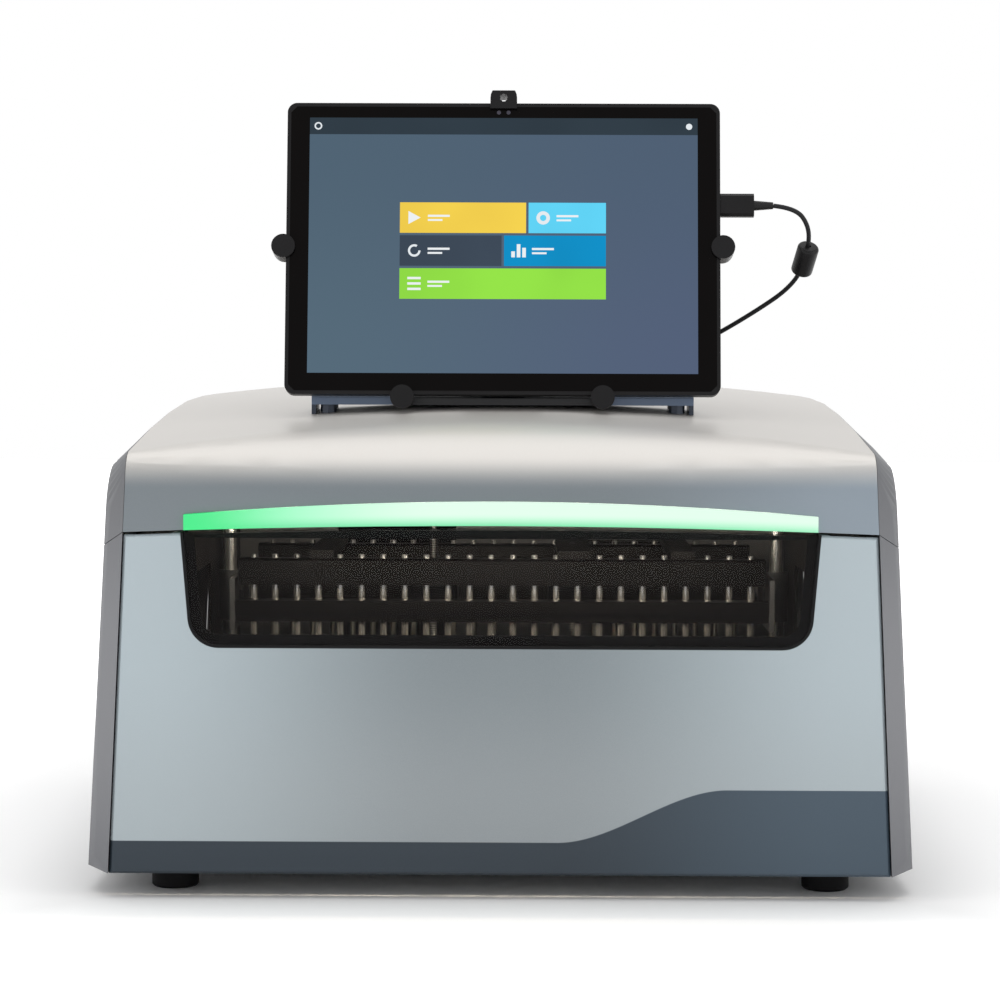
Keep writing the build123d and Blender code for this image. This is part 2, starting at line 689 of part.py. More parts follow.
def lift_motor(x):
    """Stepping motor with a turning nut inside; its screw does not turn."""
    z0 = CROSS_LOW + CROSS
    body = Pos(x, at(HEAD_DEPTH), z0 + MOTOR_HEIGHT / 2) * Box(MOTOR_SIDE, MOTOR_SIDE, MOTOR_HEIGHT)
    body = chamfer(body.edges().filter_by(Axis.Z), 4)
    body -= post(x, HEAD_DEPTH, z0 - 1, z0 + MOTOR_HEIGHT + 1, SCREW_RADIUS + FIT_GAP)
    return body


def magnet_bar(row):
    """Bar that holds a row of magnet rods."""
    reach = BAR_REACH - MAGNET_INSET
    bar = block(-reach, reach, row - BAR_WIDTH / 2 + 1, row + BAR_WIDTH / 2 - 1,
                MAGNET_Z, MAGNET_Z + MAGNET_BAR)
    return chamfer(bar.edges().filter_by(Axis.X).group_by(Axis.Z)[-1], 2)


def magnet_rods(row):
    """One row of magnet-tipped rods."""
    return [facet_post(column_x(k), row, ROD_LOW, MAGNET_Z, ROD_RADIUS, ROD_SIDES)
            for k in range(COLUMNS)]


def magnet_rails():
    """Rails that tie the two magnet bars together, the middle one holding the screw."""
    z0 = MAGNET_Z + MAGNET_BAR
    rails = []
    for x, half in ((-MAGNET_RAIL_X, 10), (MOTOR_X, 14), (MAGNET_RAIL_X, 10)):
        rail = block(x - half, x + half, ROW_FRONT - 8, ROW_REAR + 8, z0, z0 + MAGNET_RAIL)
        if x == MOTOR_X:
            rail -= post(x, HEAD_DEPTH, z0 - 1, z0 + MAGNET_RAIL + 1, SCREW_RADIUS)
        rails.append(rail)
    return rails


def uv_tube():
    """Ultraviolet tube across the front of the frame."""
    return along_x(-FRAME_HALF + 3, FRAME_HALF - 3, LAMP_DEPTH, LAMP_Z, LAMP_RADIUS)


def lamp_holder():
    """Right-hand holder of the tube, on the inner face of the frame plate."""
    half = LAMP_RADIUS + 3
    body = block(FRAME_HALF - LAMP_CAP, FRAME_HALF, LAMP_DEPTH - half, LAMP_DEPTH + half,
                 LAMP_Z - half, LAMP_Z + half)
    body = chamfer(body.edges().filter_by(Axis.X), 3)
    return body - facet_x(FRAME_HALF - LAMP_CAP - 1, FRAME_HALF - 3, LAMP_DEPTH, LAMP_Z, LAMP_RADIUS, 8)


# ---------------------------------------------------------------- platform

def platform_plate():
    """Folded plate with side flanges that hang on the slides."""
    plate = block(-PLATE_HALF, PLATE_HALF, PLATFORM_FRONT, PLATFORM_BACK, PLATE_LOW, PLATE_LOW + PLATE)
    for flange in both(block(PLATE_HALF - PLATE, PLATE_HALF, PLATFORM_FRONT, PLATFORM_BACK,
                             PLATE_LOW, FLANGE_TOP)):
        plate += flange
    return plate


def channel(x_open, x_web, half, d0, d1):
    """One folded member of a telescopic slide."""
    z0, z1 = SLIDE_MID_Z - half, SLIDE_MID_Z + half
    low, high = min(x_open, x_web), max(x_open, x_web)
    body = block(low, high, d0, d1, z0, z1)
    if x_web > x_open:
        return body - block(low - 1, high - SLIDE_SHEET, d0 - 1, d1 + 1,
                            z0 + SLIDE_SHEET, z1 - SLIDE_SHEET)
    return body - block(low + SLIDE_SHEET, high + 1, d0 - 1, d1 + 1,
                        z0 + SLIDE_SHEET, z1 - SLIDE_SHEET)


def slide_member(step):
    """Right-hand slide member: 0 on the frame, 1 between, 2 on the platform."""
    half = SLIDE_HEIGHT / 2 - step * (SLIDE_SHEET + SLIDE_GAP)
    d0, d1 = PLATFORM_FRONT - 8, PLATFORM_BACK
    if step == 2:
        return channel(PLATE_HALF + 11, PLATE_HALF, half, d0 + 8, d1)
    x_web = FRAME_HALF - step * 5
    return channel(PLATE_HALF + 9 - step * 6, x_web, half, d0, d1)


def heater_plate():
    """Aluminium heating plate under the trays."""
    return block(-HEATER_HALF, HEATER_HALF, TRAY_FRONT + HEATER_LAP, REAR_TRAY + TRAY_LENGTH - HEATER_LAP,
                 PLATE_LOW + PLATE, PLATE_LOW + PLATE + HEATER)


def deck_tray(front):
    """Open tray with low ribs for the reagent strips."""
    z0 = PLATE_LOW + PLATE + HEATER
    tray = block(-TRAY_HALF, TRAY_HALF, front, front + TRAY_LENGTH, z0, TRAY_TOP)
    tray = fillet(tray.edges().filter_by(Axis.Z), TRAY_CORNER)
    tray -= block(-TRAY_HALF + TRAY_WALL, TRAY_HALF - TRAY_WALL, front + TRAY_WALL,
                  front + TRAY_LENGTH - TRAY_WALL, z0 + TRAY_WALL, TRAY_TOP + 1)
    ribs = [block(column_x(k) - (PITCH + RIB_WIDTH) / 2, column_x(k) - (PITCH - RIB_WIDTH) / 2,
                  front + 1, front + TRAY_LENGTH - 1, z0 + 1, z0 + TRAY_WALL + RIB)
            for k in range(1, COLUMNS)]
    return tray + ribs


# ---------------------------------------------------------------- back panel and inside

def through_sheet(x0, x1, z0, z1):
    """Opening in the back panel's sheet."""
    return block(x0, x1, BODY_DEPTH - 5, BODY_DEPTH + 5, z0, z1)


def rear_panel():
    """Steel back panel with vents, fan hole and connector cut-outs."""
    sheet = strip(FIT_GAP + 0.2, FLOOR + 1, HOOD_SKIRT_Z - PANEL_GAP)
    d1 = BODY_DEPTH
    sheet = sheet & block(-2 * EDGE_HALF, 2 * EDGE_HALF, d1 - REAR_SHEET, d1, 0, EDGE_Z)
    sheet -= along_y(FAN_X, d1 - 5, d1 + 5, FAN_Z, FAN_RADIUS)
    half, rise = INLET_HALF + FIT_GAP, INLET_RISE + FIT_GAP
    sheet -= through_sheet(INLET_X - half, INLET_X + half, INLET_Z - rise, INLET_Z + rise)
    sheet -= through_sheet(INLET_X - rise, INLET_X + rise, ROCKER_Z - half, ROCKER_Z + half)
    for k in range(SLOT_COUNT):
        z = FAN_Z + (k - (SLOT_COUNT - 1) / 2) * SLOT_PITCH - SLOT_HEIGHT / 2
        sheet -= through_sheet(SLOT_LEFT, SLOT_LEFT + SLOT_LENGTH, z, z + SLOT_HEIGHT)
    return sheet


def fan_frame():
    """Square frame of the cooling fan."""
    d1 = BODY_DEPTH - REAR_SHEET
    d0 = d1 - FAN_DEPTH
    half = FAN_SIDE / 2
    body = block(FAN_X - half, FAN_X + half, d0, d1, FAN_Z - half, FAN_Z + half)
    body -= facet_y(FAN_X, d0 - 1, d1 + 1, FAN_Z, FAN_RADIUS, FAN_SIDES)
    spokes = block(FAN_X - half + 1, FAN_X + half - 1, d0, d0 + 3, FAN_Z - 2, FAN_Z + 2)
    spokes += block(FAN_X - 2, FAN_X + 2, d0, d0 + 3, FAN_Z - half + 1, FAN_Z + half - 1)
    body += spokes + facet_y(FAN_X, d0, d0 + 4, FAN_Z, FAN_HUB + 1, 2 * FAN_BLADES)
    return body + along_y(FAN_X, d0 + 3, d0 + 14, FAN_Z, FAN_PIN)


def fan_rotor():
    """Hub and blades of the cooling fan."""
    d0 = BODY_DEPTH - REAR_SHEET - FAN_DEPTH + 4.3
    hub = facet_y(FAN_X, d0, d0 + 15, FAN_Z, FAN_HUB, 2 * FAN_BLADES)
    hub -= along_y(FAN_X, d0 - 1, d0 + 10, FAN_Z, FAN_PIN + BUSH_CLEARANCE)
    tip = FAN_RADIUS - 2
    for k in range(FAN_BLADES):
        blade = Pos((FAN_HUB + tip - 2) / 2, 0, 0) * Rot(38, 0, 0) * Box(tip - FAN_HUB + 2, 17, 1.5)
        hub += Pos(FAN_X, at(d0 + 8), FAN_Z) * Rot(0, 360 / FAN_BLADES * k, 0) * blade
    return hub


def panel_insert(z, half, rise):
    """Body of a connector pushed into the back panel, with its bezel."""
    d1 = BODY_DEPTH + BEZEL
    body = block(INLET_X - half, INLET_X + half, d1 - 30, BODY_DEPTH, z - rise, z + rise)
    return body + block(INLET_X - half - BEZEL_LAP, INLET_X + half + BEZEL_LAP, BODY_DEPTH, d1,
                        z - rise - BEZEL_LAP, z + rise + BEZEL_LAP)


def power_inlet():
    """Mains inlet with its recess and three blades."""
    d1 = BODY_DEPTH + BEZEL
    half, rise = INLET_HALF - 2.2, INLET_RISE - 2.2
    body = panel_insert(INLET_Z, INLET_HALF, INLET_RISE)
    body -= block(INLET_X - half, INLET_X + half, d1 - 17, d1 + 1, INLET_Z - rise, INLET_Z + rise)
    for dx, dz in ((-7, -2), (0, 2), (7, -2)):
        body += block(INLET_X + dx - 1, INLET_X + dx + 1, d1 - 18, d1 - 4,
                      INLET_Z + dz - 2, INLET_Z + dz + 2)
    return body


ROCKER_AXIS_DEPTH = BODY_DEPTH - 5


def rocker_frame():
    """Bezel of the mains switch."""
    d1 = BODY_DEPTH + BEZEL
    half = ROCKER_HALF + FIT_GAP
    body = panel_insert(ROCKER_Z, INLET_RISE, INLET_HALF)
    body -= block(INLET_X - half, INLET_X + half, d1 - 14, d1 + 1,
                  ROCKER_Z - ROCKER_WELL, ROCKER_Z + ROCKER_WELL)
    return body + along_x(INLET_X - half - 0.5, INLET_X + half + 0.5, ROCKER_AXIS_DEPTH, ROCKER_Z,
                          ROCKER_PIN)


def power_rocker():
    """Rocker of the mains switch, turning on the bezel's pin."""
    d = ROCKER_AXIS_DEPTH
    outline = Polyline((at(d - 3), ROCKER_Z - 6), (at(d + 4), ROCKER_Z - 11), (at(d + 5.5), ROCKER_Z),
                       (at(d + 8), ROCKER_Z + 9.6), (at(d - 3), ROCKER_Z + 6), close=True)
    face = Plane.YZ.offset(INLET_X - ROCKER_HALF) * make_face(outline)
    body = extrude(face, amount=2 * ROCKER_HALF, dir=(1, 0, 0))
    return body - along_x(INLET_X - 9, INLET_X + 9, d, ROCKER_Z, ROCKER_PIN + BUSH_CLEARANCE)


def power_supply():
    """Boxed power supply on the pan, with slots in its back."""
    z0 = FLOOR + PAN
    box = block(SUPPLY_LEFT, SUPPLY_LEFT + SUPPLY_WIDTH, SUPPLY_BACK - SUPPLY_LENGTH, SUPPLY_BACK,
                z0, z0 + SUPPLY_HEIGHT)
    first = SUPPLY_LEFT + (SUPPLY_WIDTH - 8 * 15 - 8) / 2
    slots = [block(first + 15 * k, first + 15 * k + 8, SUPPLY_BACK - 4, SUPPLY_BACK + 5,
                   z0 + 10, z0 + SUPPLY_HEIGHT - 10) for k in range(9)]
    return box - slots


def control_board():
    """Main circuit board with a few large parts."""
    z = FLOOR + PAN + STANDOFF
    front = BOARD_BACK - BOARD_LENGTH
    board = block(BOARD_LEFT, BOARD_LEFT + BOARD_WIDTH, front, BOARD_BACK, z, z + BOARD)
    for x, d, width, length, height in ((20, 30, 40, 40, 4), (100, 10, 24, 40, 13),
                                        (190, 90, 45, 40, 11)):
        board += block(BOARD_LEFT + x, BOARD_LEFT + x + width, front + d, front + d + length,
                       z + 1, z + 1 + height)
    return board


def board_posts():
    """Hexagonal stand-offs under the circuit board."""
    z = FLOOR + PAN
    return [facet_post(x, d, z, z + STANDOFF, 3.5, 6)
            for x in (BOARD_LEFT + 5, BOARD_LEFT + BOARD_WIDTH - 5)
            for d in (BOARD_BACK - BOARD_LENGTH + 5, BOARD_BACK - 5)]


# ---------------------------------------------------------------- tablet and holder

STAND_BAR_LOW = roof_z(0, STAND_FRONT) + STAND_LIFT
TILT_Z = STAND_BAR_LOW + AXIS_OVER_BAR
TABLET_Z = STAND_BAR_LOW + TABLET_OVER_BAR
LEAN = math.radians(TABLET_LEAN)
TABLET_PLANE = Plane(origin=(0, at(TABLET_DEPTH), TABLET_Z), x_dir=(1, 0, 0),
                     z_dir=(0, -math.cos(LEAN), math.sin(LEAN)))
BEHIND = -TABLET_THICK - FIT_GAP          # front of the claws' arms
PLATE_FRONT = BEHIND - SPIDER - FIT_GAP   # front of the holder's back plate


def on_tablet(shape):
    """Place a shape drawn in the tablet's own frame: right, up its face, out of its glass."""
    return TABLET_PLANE.location * shape


def slab(u0, u1, v0, v1, w0, w1):
    """Box in the tablet's frame."""
    return Pos((u0 + u1) / 2, (v0 + v1) / 2, (w0 + w1) / 2) * Box(u1 - u0, v1 - v0, w1 - w0)


def disc(u, v, w0, w1, radius):
    """Round plate facing out of the tablet's glass, in flats."""
    return Pos(u, v, w0) * extrude(RegularPolygon(radius, DISC_SIDES), amount=w1 - w0)


def button_slot(u, half):
    """Slot for a button in the tablet's top edge."""
    return slab(u - half, u + half, TABLET_HEIGHT - BUTTON_DEEP, TABLET_HEIGHT + 1,
                PORT_W - BUTTON_HALF, PORT_W + BUTTON_HALF)


def tablet_body():
    """Slim tablet case with a bed for its glass, a port and two button slots."""
    body = slab(-TABLET_HALF, TABLET_HALF, 0, TABLET_HEIGHT, -TABLET_THICK, 0)
    body = fillet(body.edges().filter_by(Axis.Z), TABLET_CORNER)
    body = chamfer(body.faces().sort_by(Axis.Z)[0].edges(), 2)
    edge = BEZEL_EDGE
    bed = slab(-TABLET_HALF + edge, TABLET_HALF - edge, edge, TABLET_HEIGHT - edge, -GLASS, 1)
    body -= chamfer(bed.edges().filter_by(Axis.Z), TABLET_CORNER - edge)
    body -= slab(TABLET_HALF - 8, TABLET_HALF + 1, PLUG_V - 4.5, PLUG_V + 4.5, PORT_W - 1.7, PORT_W + 1.7)
    return body - button_slot(POWER_U, POWER_HALF) - button_slot(VOLUME_U, VOLUME_HALF)


def tablet_glass():
    """Front glass of the tablet."""
    edge = BEZEL_EDGE + GLASS_GAP
    glass = slab(-TABLET_HALF + edge, TABLET_HALF - edge, edge, TABLET_HEIGHT - edge, -GLASS, 0)
    return chamfer(glass.edges().filter_by(Axis.Z), TABLET_CORNER - edge)


def edge_button(u, half):
    """Button in the top edge of the tablet."""
    rise = BUTTON_HALF - FIT_GAP
    return slab(u - half + FIT_GAP, u + half - FIT_GAP, TABLET_HEIGHT - 2.5, TABLET_HEIGHT + 0.9,
                PORT_W - rise, PORT_W + rise)


def side_claw():
    """Sprung hook round the tablet's right-hand edge."""
    edge, v = TABLET_HALF, CLAW_SIDE_V
    grip = disc(edge + 2.2, v, BEHIND - SPIDER, CLAW_LIP, CLAW_RADIUS)
    grip -= slab(0, edge + FIT_GAP, v - 20, v + 20, BEHIND, FIT_GAP)
    arm = slab(edge - CLAW_REACH, edge, v - CLAW_ARM / 2, v + CLAW_ARM / 2, BEHIND - SPIDER, BEHIND)
    return grip + arm


def guide_ribs(u0, u1, v0, v1):
    """Back plate's stretch under a claw arm, with a rib along each of its long sides."""
    plate = slab(u0, u1, v0, v1, PLATE_FRONT - SPIDER_PLATE, PLATE_FRONT)
    rib, top = 3.5, PLATE_FRONT + SPIDER
    if v1 - v0 > u1 - u0:
        edges = [slab(u, u + rib, v1 - 25, v1, PLATE_FRONT - 0.5, top) for u in (u0, u1 - rib)]
    else:
        near, far = sorted((u0, u1), key=abs)
        ends = sorted((far, far - math.copysign(25, far)))
        edges = [slab(ends[0], ends[1], v, v + rib, PLATE_FRONT - 0.5, top) for v in (v0, v1 - rib)]
    return plate + edges


def spider_plate():
    """Back plate of the holder with guides for the claw arms."""
    guide = CLAW_ARM / 2 + 4
    middle = CLAW_SIDE_V
    plate = slab(-70, 70, middle - 60, middle + 60, PLATE_FRONT - SPIDER_PLATE, PLATE_FRONT)
    plate = chamfer(plate.edges().filter_by(Axis.Z), 18)
    foot = CLAW_LOW_U + 8
    plate += slab(-foot, foot, 20, 34, PLATE_FRONT - SPIDER_PLATE, PLATE_FRONT)
    plate += slab(-14, 14, 2, 70, PLATE_FRONT - SPIDER_PLATE, PLATE_FRONT)
    reach = TABLET_HALF - CLAW_REACH + 25.5
    for u0, u1 in ((-reach, -60), (60, reach)):
        plate += guide_ribs(u0, u1, middle - guide, middle + guide)
    return plate + guide_ribs(-guide, guide, 170, TABLET_HEIGHT - TOP_REACH + 24)


def lower_claw():
    """Fixed hook under the tablet, drawn for the lower edge."""
    grip = disc(0, -2.2, FIT_GAP, CLAW_LIP, CLAW_RADIUS)
    grip += slab(-CLAW_ARM / 2, CLAW_ARM / 2, -5, -FIT_GAP, BEHIND - SPIDER, CLAW_LIP - 1)
    return grip + slab(-CLAW_ARM / 2, CLAW_ARM / 2, 0, 34, BEHIND - SPIDER, BEHIND)


def top_claw():
    """Sprung hook over the tablet, with a finger hole in its arch."""
    v, half = TABLET_HEIGHT, 11
    grip = slab(-half, half, v - 5, v + 4, BEHIND - SPIDER, CLAW_LIP)
    grip += disc(0, v + 4, BEHIND - SPIDER, CLAW_LIP, half)
    grip = grip & slab(-half, half, v - 5, v + 10, BEHIND - SPIDER, CLAW_LIP)
    grip -= slab(-20, 20, v - 20, v + FIT_GAP, BEHIND, FIT_GAP)
    hole = RegularPolygon(3.4, 10)
    grip -= Pos(0, v + 4, BEHIND - SPIDER - 1) * extrude(hole, amount=SPIDER + TABLET_THICK + 10)
    return grip + slab(-CLAW_ARM / 2, CLAW_ARM / 2, v - TOP_REACH, v, BEHIND - SPIDER, BEHIND)


def holder_back():
    """Back plate with the middle barrel and neck of the tilt hinge."""
    neck = on_tablet(slab(-BARREL_HALF + 2, BARREL_HALF - 2, 4, 26, PLATE_FRONT - 14, PLATE_FRONT - 3))
    barrel = along_x(-BARREL_HALF, BARREL_HALF, TILT_DEPTH, TILT_Z, BARREL_RADIUS)
    body = on_tablet(spider_plate()) + neck + barrel
    return body - along_x(-BARREL_HALF - 10, BARREL_HALF + 10, TILT_DEPTH, TILT_Z, PIN_RADIUS)


def stand_foot():
    """Right-hand foot: an upright end plate and two pillars under the bar."""
    x1 = STAND_HALF
    low = STAND_BAR_LOW - 30
    foot = block(x1 - STAND_PLATE, x1, STAND_FRONT, STAND_FRONT + STAND_DEEP, low, STAND_BAR_LOW + 2)
    for depth in (STAND_FRONT + PILLAR_RADIUS + 1, STAND_FRONT + STAND_DEEP - PILLAR_RADIUS - 1):
        foot += facet_post(x1 - PILLAR_INSET, depth, low, STAND_BAR_LOW + 1, PILLAR_RADIUS, PILLAR_SIDES)
    return foot


def stand_base():
    """Bar on two feet that follow the curve of the roof, with the hinge cheeks."""
    top = STAND_BAR_LOW + STAND_BAR
    bar = block(-STAND_HALF, STAND_HALF, STAND_FRONT, STAND_FRONT + STAND_DEEP, STAND_BAR_LOW, top)
    bar = chamfer(bar.edges().filter_by(Axis.X).group_by(Axis.Z)[-1], 1.5)
    for piece in both(stand_foot()):
        bar += piece
    bar -= Pos(0, 0, FIT_GAP) * hood_block(0, SEAM_END - 30)
    inner = BARREL_HALF + FIT_GAP
    for x0, x1 in ((-inner - CHEEK_WIDTH, -inner), (inner, inner + CHEEK_WIDTH)):
        cheek = block(x0, x1, TILT_DEPTH - BARREL_RADIUS, TILT_DEPTH + BARREL_RADIUS, top - 1, TILT_Z)
        bar += cheek + along_x(x0, x1, TILT_DEPTH, TILT_Z, BARREL_RADIUS)
    return bar - along_x(-2 * inner, 2 * inner, TILT_DEPTH, TILT_Z, PIN_RADIUS + BUSH_CLEARANCE)


def tilt_pin():
    """Friction pin of the tilt hinge."""
    reach = BARREL_HALF + FIT_GAP + CHEEK_WIDTH + 1
    return along_x(-reach, reach, TILT_DEPTH, TILT_Z, PIN_RADIUS)


def link_plug():
    """Moulded plug in the tablet's edge, with its strain relief."""
    body = slab(TABLET_HALF + FIT_GAP, TABLET_HALF + PLUG_LENGTH, PLUG_V - 9.5, PLUG_V + 9.5,
                PORT_W - 4.7, PORT_W + 4.7)
    body = chamfer(body.edges().filter_by(Axis.X), 2.2)
    body += slab(TABLET_HALF - 6, TABLET_HALF + 1, PLUG_V - 4.2, PLUG_V + 4.2, PORT_W - 1.4, PORT_W + 1.4)
    neck = Plane(origin=(TABLET_HALF + PLUG_LENGTH - 0.1, PLUG_V, PORT_W), z_dir=(1, 0, 0))
    return body + extrude(neck * RegularPolygon(4.2, 10), amount=RELIEF + 0.1, taper=RELIEF_TAPER)


def cable_gland():
    """Rubber boot in the roof that turns the link cable inwards."""
    roof = roof_z(GLAND_X, GLAND_DEPTH)
    boot = facet_post(GLAND_X, GLAND_DEPTH, roof - 8, roof + 9, GLAND_RADIUS, GLAND_SIDES)
    boot += facet_post(GLAND_X, GLAND_DEPTH, roof + 0.9, roof + 3, GLAND_RADIUS + 3, GLAND_SIDES)
    aim = Plane(origin=(GLAND_X, at(GLAND_DEPTH), roof + 5), z_dir=GLAND_AIM)
    root = aim * RegularPolygon(GLAND_RADIUS - 2, GLAND_SIDES)
    return boot + extrude(root, amount=GLAND_REACH, taper=RELIEF_TAPER)


# The link cable's route, from the plug's strain relief to the gland in the roof.
CABLE_ROUTE = [
    (222.8, -167.4, 549.9), (241.5, -167.0, 548.0), (252.5, -163.0, 533.5), (253.5, -153.0, 517.0),
    (249.0, -138.0, 496.5), (238.0, -124.0, 481.5), (218.0, -114.0, 467.0), (186.0, -105.0, 447.0),
    (146.0, -95.0, 425.5), (117.0, -85.6, 413.5), (97.0, -78.3, 407.3), (74.6, -70.6, 400.9),
]
FERRITE_AFTER = 3         # the ferrite sleeve sits on the run after this point


def cable_radii(route):
    """Bend radius at each inner point: 0.45 of the shorter run over tan of half the turn."""
    points = [Vector(*p) for p in route]
    radii = []
    for a, b, c in zip(points, points[1:], points[2:]):
        turn = math.radians((b - a).get_angle(c - b))
        radii.append(0.45 * min((b - a).length, (c - b).length) / math.tan(turn / 2))
    return radii


def link_cable():
    """Cable swept along its route."""
    radii = cable_radii(CABLE_ROUTE)
    print("link cable bends:", [round(r, 1) for r in radii])
    path = FilletPolyline(*CABLE_ROUTE, radius=radii)
    section = Plane(origin=path @ 0, z_dir=path % 0) * RegularPolygon(CABLE_RADIUS, CABLE_SIDES)
    tube = sweep(section, path=path)
    print("link cable length:", round(path.length, 1), "volume over section:",
          round(tube.volume / section.area, 1))
    return tube


def link_ferrite():
    """Ferrite sleeve moulded round the cable."""
    a, b = (Vector(*p) for p in CABLE_ROUTE[FERRITE_AFTER:FERRITE_AFTER + 2])
    place = Plane(origin=(a + b) / 2, z_dir=b - a)
    sleeve = extrude(RegularPolygon(FERRITE_RADIUS, FERRITE_SIDES), amount=FERRITE / 2, both=True)
    ends = sleeve.faces().sort_by(Axis.Z)
    sleeve = chamfer(ends[0].edges() + ends[-1].edges(), 1.5)
    bore = extrude(RegularPolygon(CABLE_RADIUS + FIT_GAP, CABLE_SIDES), amount=FERRITE, both=True)
    return place * (sleeve - bore)


# ---------------------------------------------------------------- the nodes

right_side = side_shell()
cheek = right_side - seam_wedge(PANEL_GAP / 2)
panel = right_side & seam_wedge(-PANEL_GAP / 2)

keep("hood_shell", hood_shell())
keep("hood_cheek_right", cheek)
keep("hood_cheek_left", mirror(cheek, about=Plane.YZ))
keep("side_panel_right", panel)
keep("side_panel_left", mirror(panel, about=Plane.YZ))
keep("light_bar", light_bar_form(0, -BAR_PROUD, BAR_DEPTH))
keep("rear_panel", rear_panel())
keep("base_pan", base_pan())

feet = [facet_post(x, depth, 0, FLOOR, FOOT_RADIUS, FOOT_SIDES) for x in (-FOOT_X, FOOT_X)
        for depth in (FOOT_FRONT, FOOT_BACK)]
keep("rubber_feet", *[chamfer(foot.faces().sort_by(Axis.Z)[0].edges(), 2) for foot in feet])

keep("door_shell", door_shell())
keep("door_liner", door_liner())
keep("door_window", door_pane())
keep("window_gasket", window_gasket())
keep("door_hinge_pins", *both(hinge_pin()))
keep("hinge_arms", *both(hinge_arm()))

keep("frame_plates", *both(frame_plate()))
keep("head_bridge", head_bridge())
keep("shaft_brackets", *both(shaft_bracket()))
keep("guide_shafts", *both(post(SHAFT_X, HEAD_DEPTH, SHAFT_LOW + SHAFT_SEAT, FRAME_TOP + BRIDGE,
                                SHAFT_RADIUS)))
keep("lift_screw", post(-MOTOR_X, HEAD_DEPTH, LIFT_SCREW_LOW, FRAME_TOP + BRIDGE, SCREW_RADIUS))

keep("plunger_bars", *[plunger_bar(row) for row in (ROW_FRONT, ROW_REAR)])
keep("carriage_ends", *both(carriage_end()))
keep("carriage_beam", carriage_beam())
keep("lift_motors", *[lift_motor(x) for x in (-MOTOR_X, MOTOR_X)])

keep("magnet_bars", *[magnet_bar(row) for row in (ROW_FRONT, ROW_REAR)])
keep("magnet_rods", *[rod for row in (ROW_FRONT, ROW_REAR) for rod in magnet_rods(row)])
keep("magnet_rails", *magnet_rails())
keep("magnet_screw", post(MOTOR_X, HEAD_DEPTH, MAGNET_SCREW_LOW, MAGNET_Z + MAGNET_BAR + MAGNET_RAIL,
                          SCREW_RADIUS))

keep("uv_tube", uv_tube())
keep("uv_lamp_holders", *both(lamp_holder()))

keep("platform_plate", platform_plate())
keep("heater_plate", heater_plate())
keep("deck_tray_front", deck_tray(TRAY_FRONT))
keep("deck_tray_rear", deck_tray(REAR_TRAY))
keep("slide_outer", *both(slide_member(0)))
keep("slide_middle", *both(slide_member(1)))
keep("slide_inner", *both(slide_member(2)))

keep("fan_frame", fan_frame())
keep("fan_rotor", fan_rotor())
keep("power_inlet", power_inlet())
keep("rocker_frame", rocker_frame())
keep("power_rocker", power_rocker())
keep("power_supply", power_supply())
keep("control_board", control_board())
keep("board_posts", *board_posts())

keep("tablet_body", on_tablet(tablet_body()))
keep("tablet_glass", on_tablet(tablet_glass()))
keep("tablet_power_button", on_tablet(edge_button(POWER_U, POWER_HALF)))
keep("tablet_volume_rocker", on_tablet(edge_button(VOLUME_U, VOLUME_HALF)))
keep("holder_back", holder_back())
keep("claw_right", on_tablet(side_claw()))
keep("claw_left", on_tablet(mirror(side_claw(), about=Plane.YZ)))
keep("claw_top", on_tablet(top_claw()))
keep("claws_bottom", *[on_tablet(Pos(u, 0, 0) * lower_claw()) for u in (-CLAW_LOW_U, CLAW_LOW_U)])
keep("holder_stand", stand_base())
keep("tilt_pin", tilt_pin())
keep("link_plug", on_tablet(link_plug()))
keep("cable_gland", cable_gland())
keep("link_cable", link_cable())
keep("link_ferrite", link_ferrite())
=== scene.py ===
import math

import bmesh
import bpy
import numpy as np
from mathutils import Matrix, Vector


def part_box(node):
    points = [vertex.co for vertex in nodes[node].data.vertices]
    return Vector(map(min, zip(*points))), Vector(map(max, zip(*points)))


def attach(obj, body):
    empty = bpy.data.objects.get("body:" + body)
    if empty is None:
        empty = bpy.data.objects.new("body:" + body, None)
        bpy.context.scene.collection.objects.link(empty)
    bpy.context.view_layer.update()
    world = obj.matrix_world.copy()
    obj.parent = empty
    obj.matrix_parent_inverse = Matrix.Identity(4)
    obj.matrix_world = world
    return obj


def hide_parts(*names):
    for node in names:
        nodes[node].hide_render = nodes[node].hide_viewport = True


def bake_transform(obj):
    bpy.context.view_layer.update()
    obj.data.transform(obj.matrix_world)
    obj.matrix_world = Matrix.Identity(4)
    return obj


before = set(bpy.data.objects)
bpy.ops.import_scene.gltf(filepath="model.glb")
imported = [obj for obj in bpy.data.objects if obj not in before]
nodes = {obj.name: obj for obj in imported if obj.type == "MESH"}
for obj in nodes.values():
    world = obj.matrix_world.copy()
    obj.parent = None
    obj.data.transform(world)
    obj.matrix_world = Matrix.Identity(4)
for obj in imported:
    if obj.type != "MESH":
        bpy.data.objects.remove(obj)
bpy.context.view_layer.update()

# ------------------------------------------------------------------ camera
# The eye stands two and a half metres in front of the machine, a little above its roof,
# and looks slightly down.
EYE = (0.020, -2.518, 0.435)
LOOK_DOWN = 3.14
LOOK_LEFT = 0.545
ROLL = -0.20
LENS = 102.1

camera_data = bpy.data.cameras.new("eye")
camera_data.lens = LENS
camera_data.sensor_width = 36
camera = bpy.data.objects.new("eye", camera_data)
camera.location = EYE
camera.rotation_mode = "XYZ"
camera.rotation_euler = [math.radians(a) for a in (90 - LOOK_DOWN, ROLL, LOOK_LEFT)]
bpy.context.scene.collection.objects.link(camera)
bpy.context.scene.camera = camera
bpy.context.scene.view_settings.view_transform = "Standard"


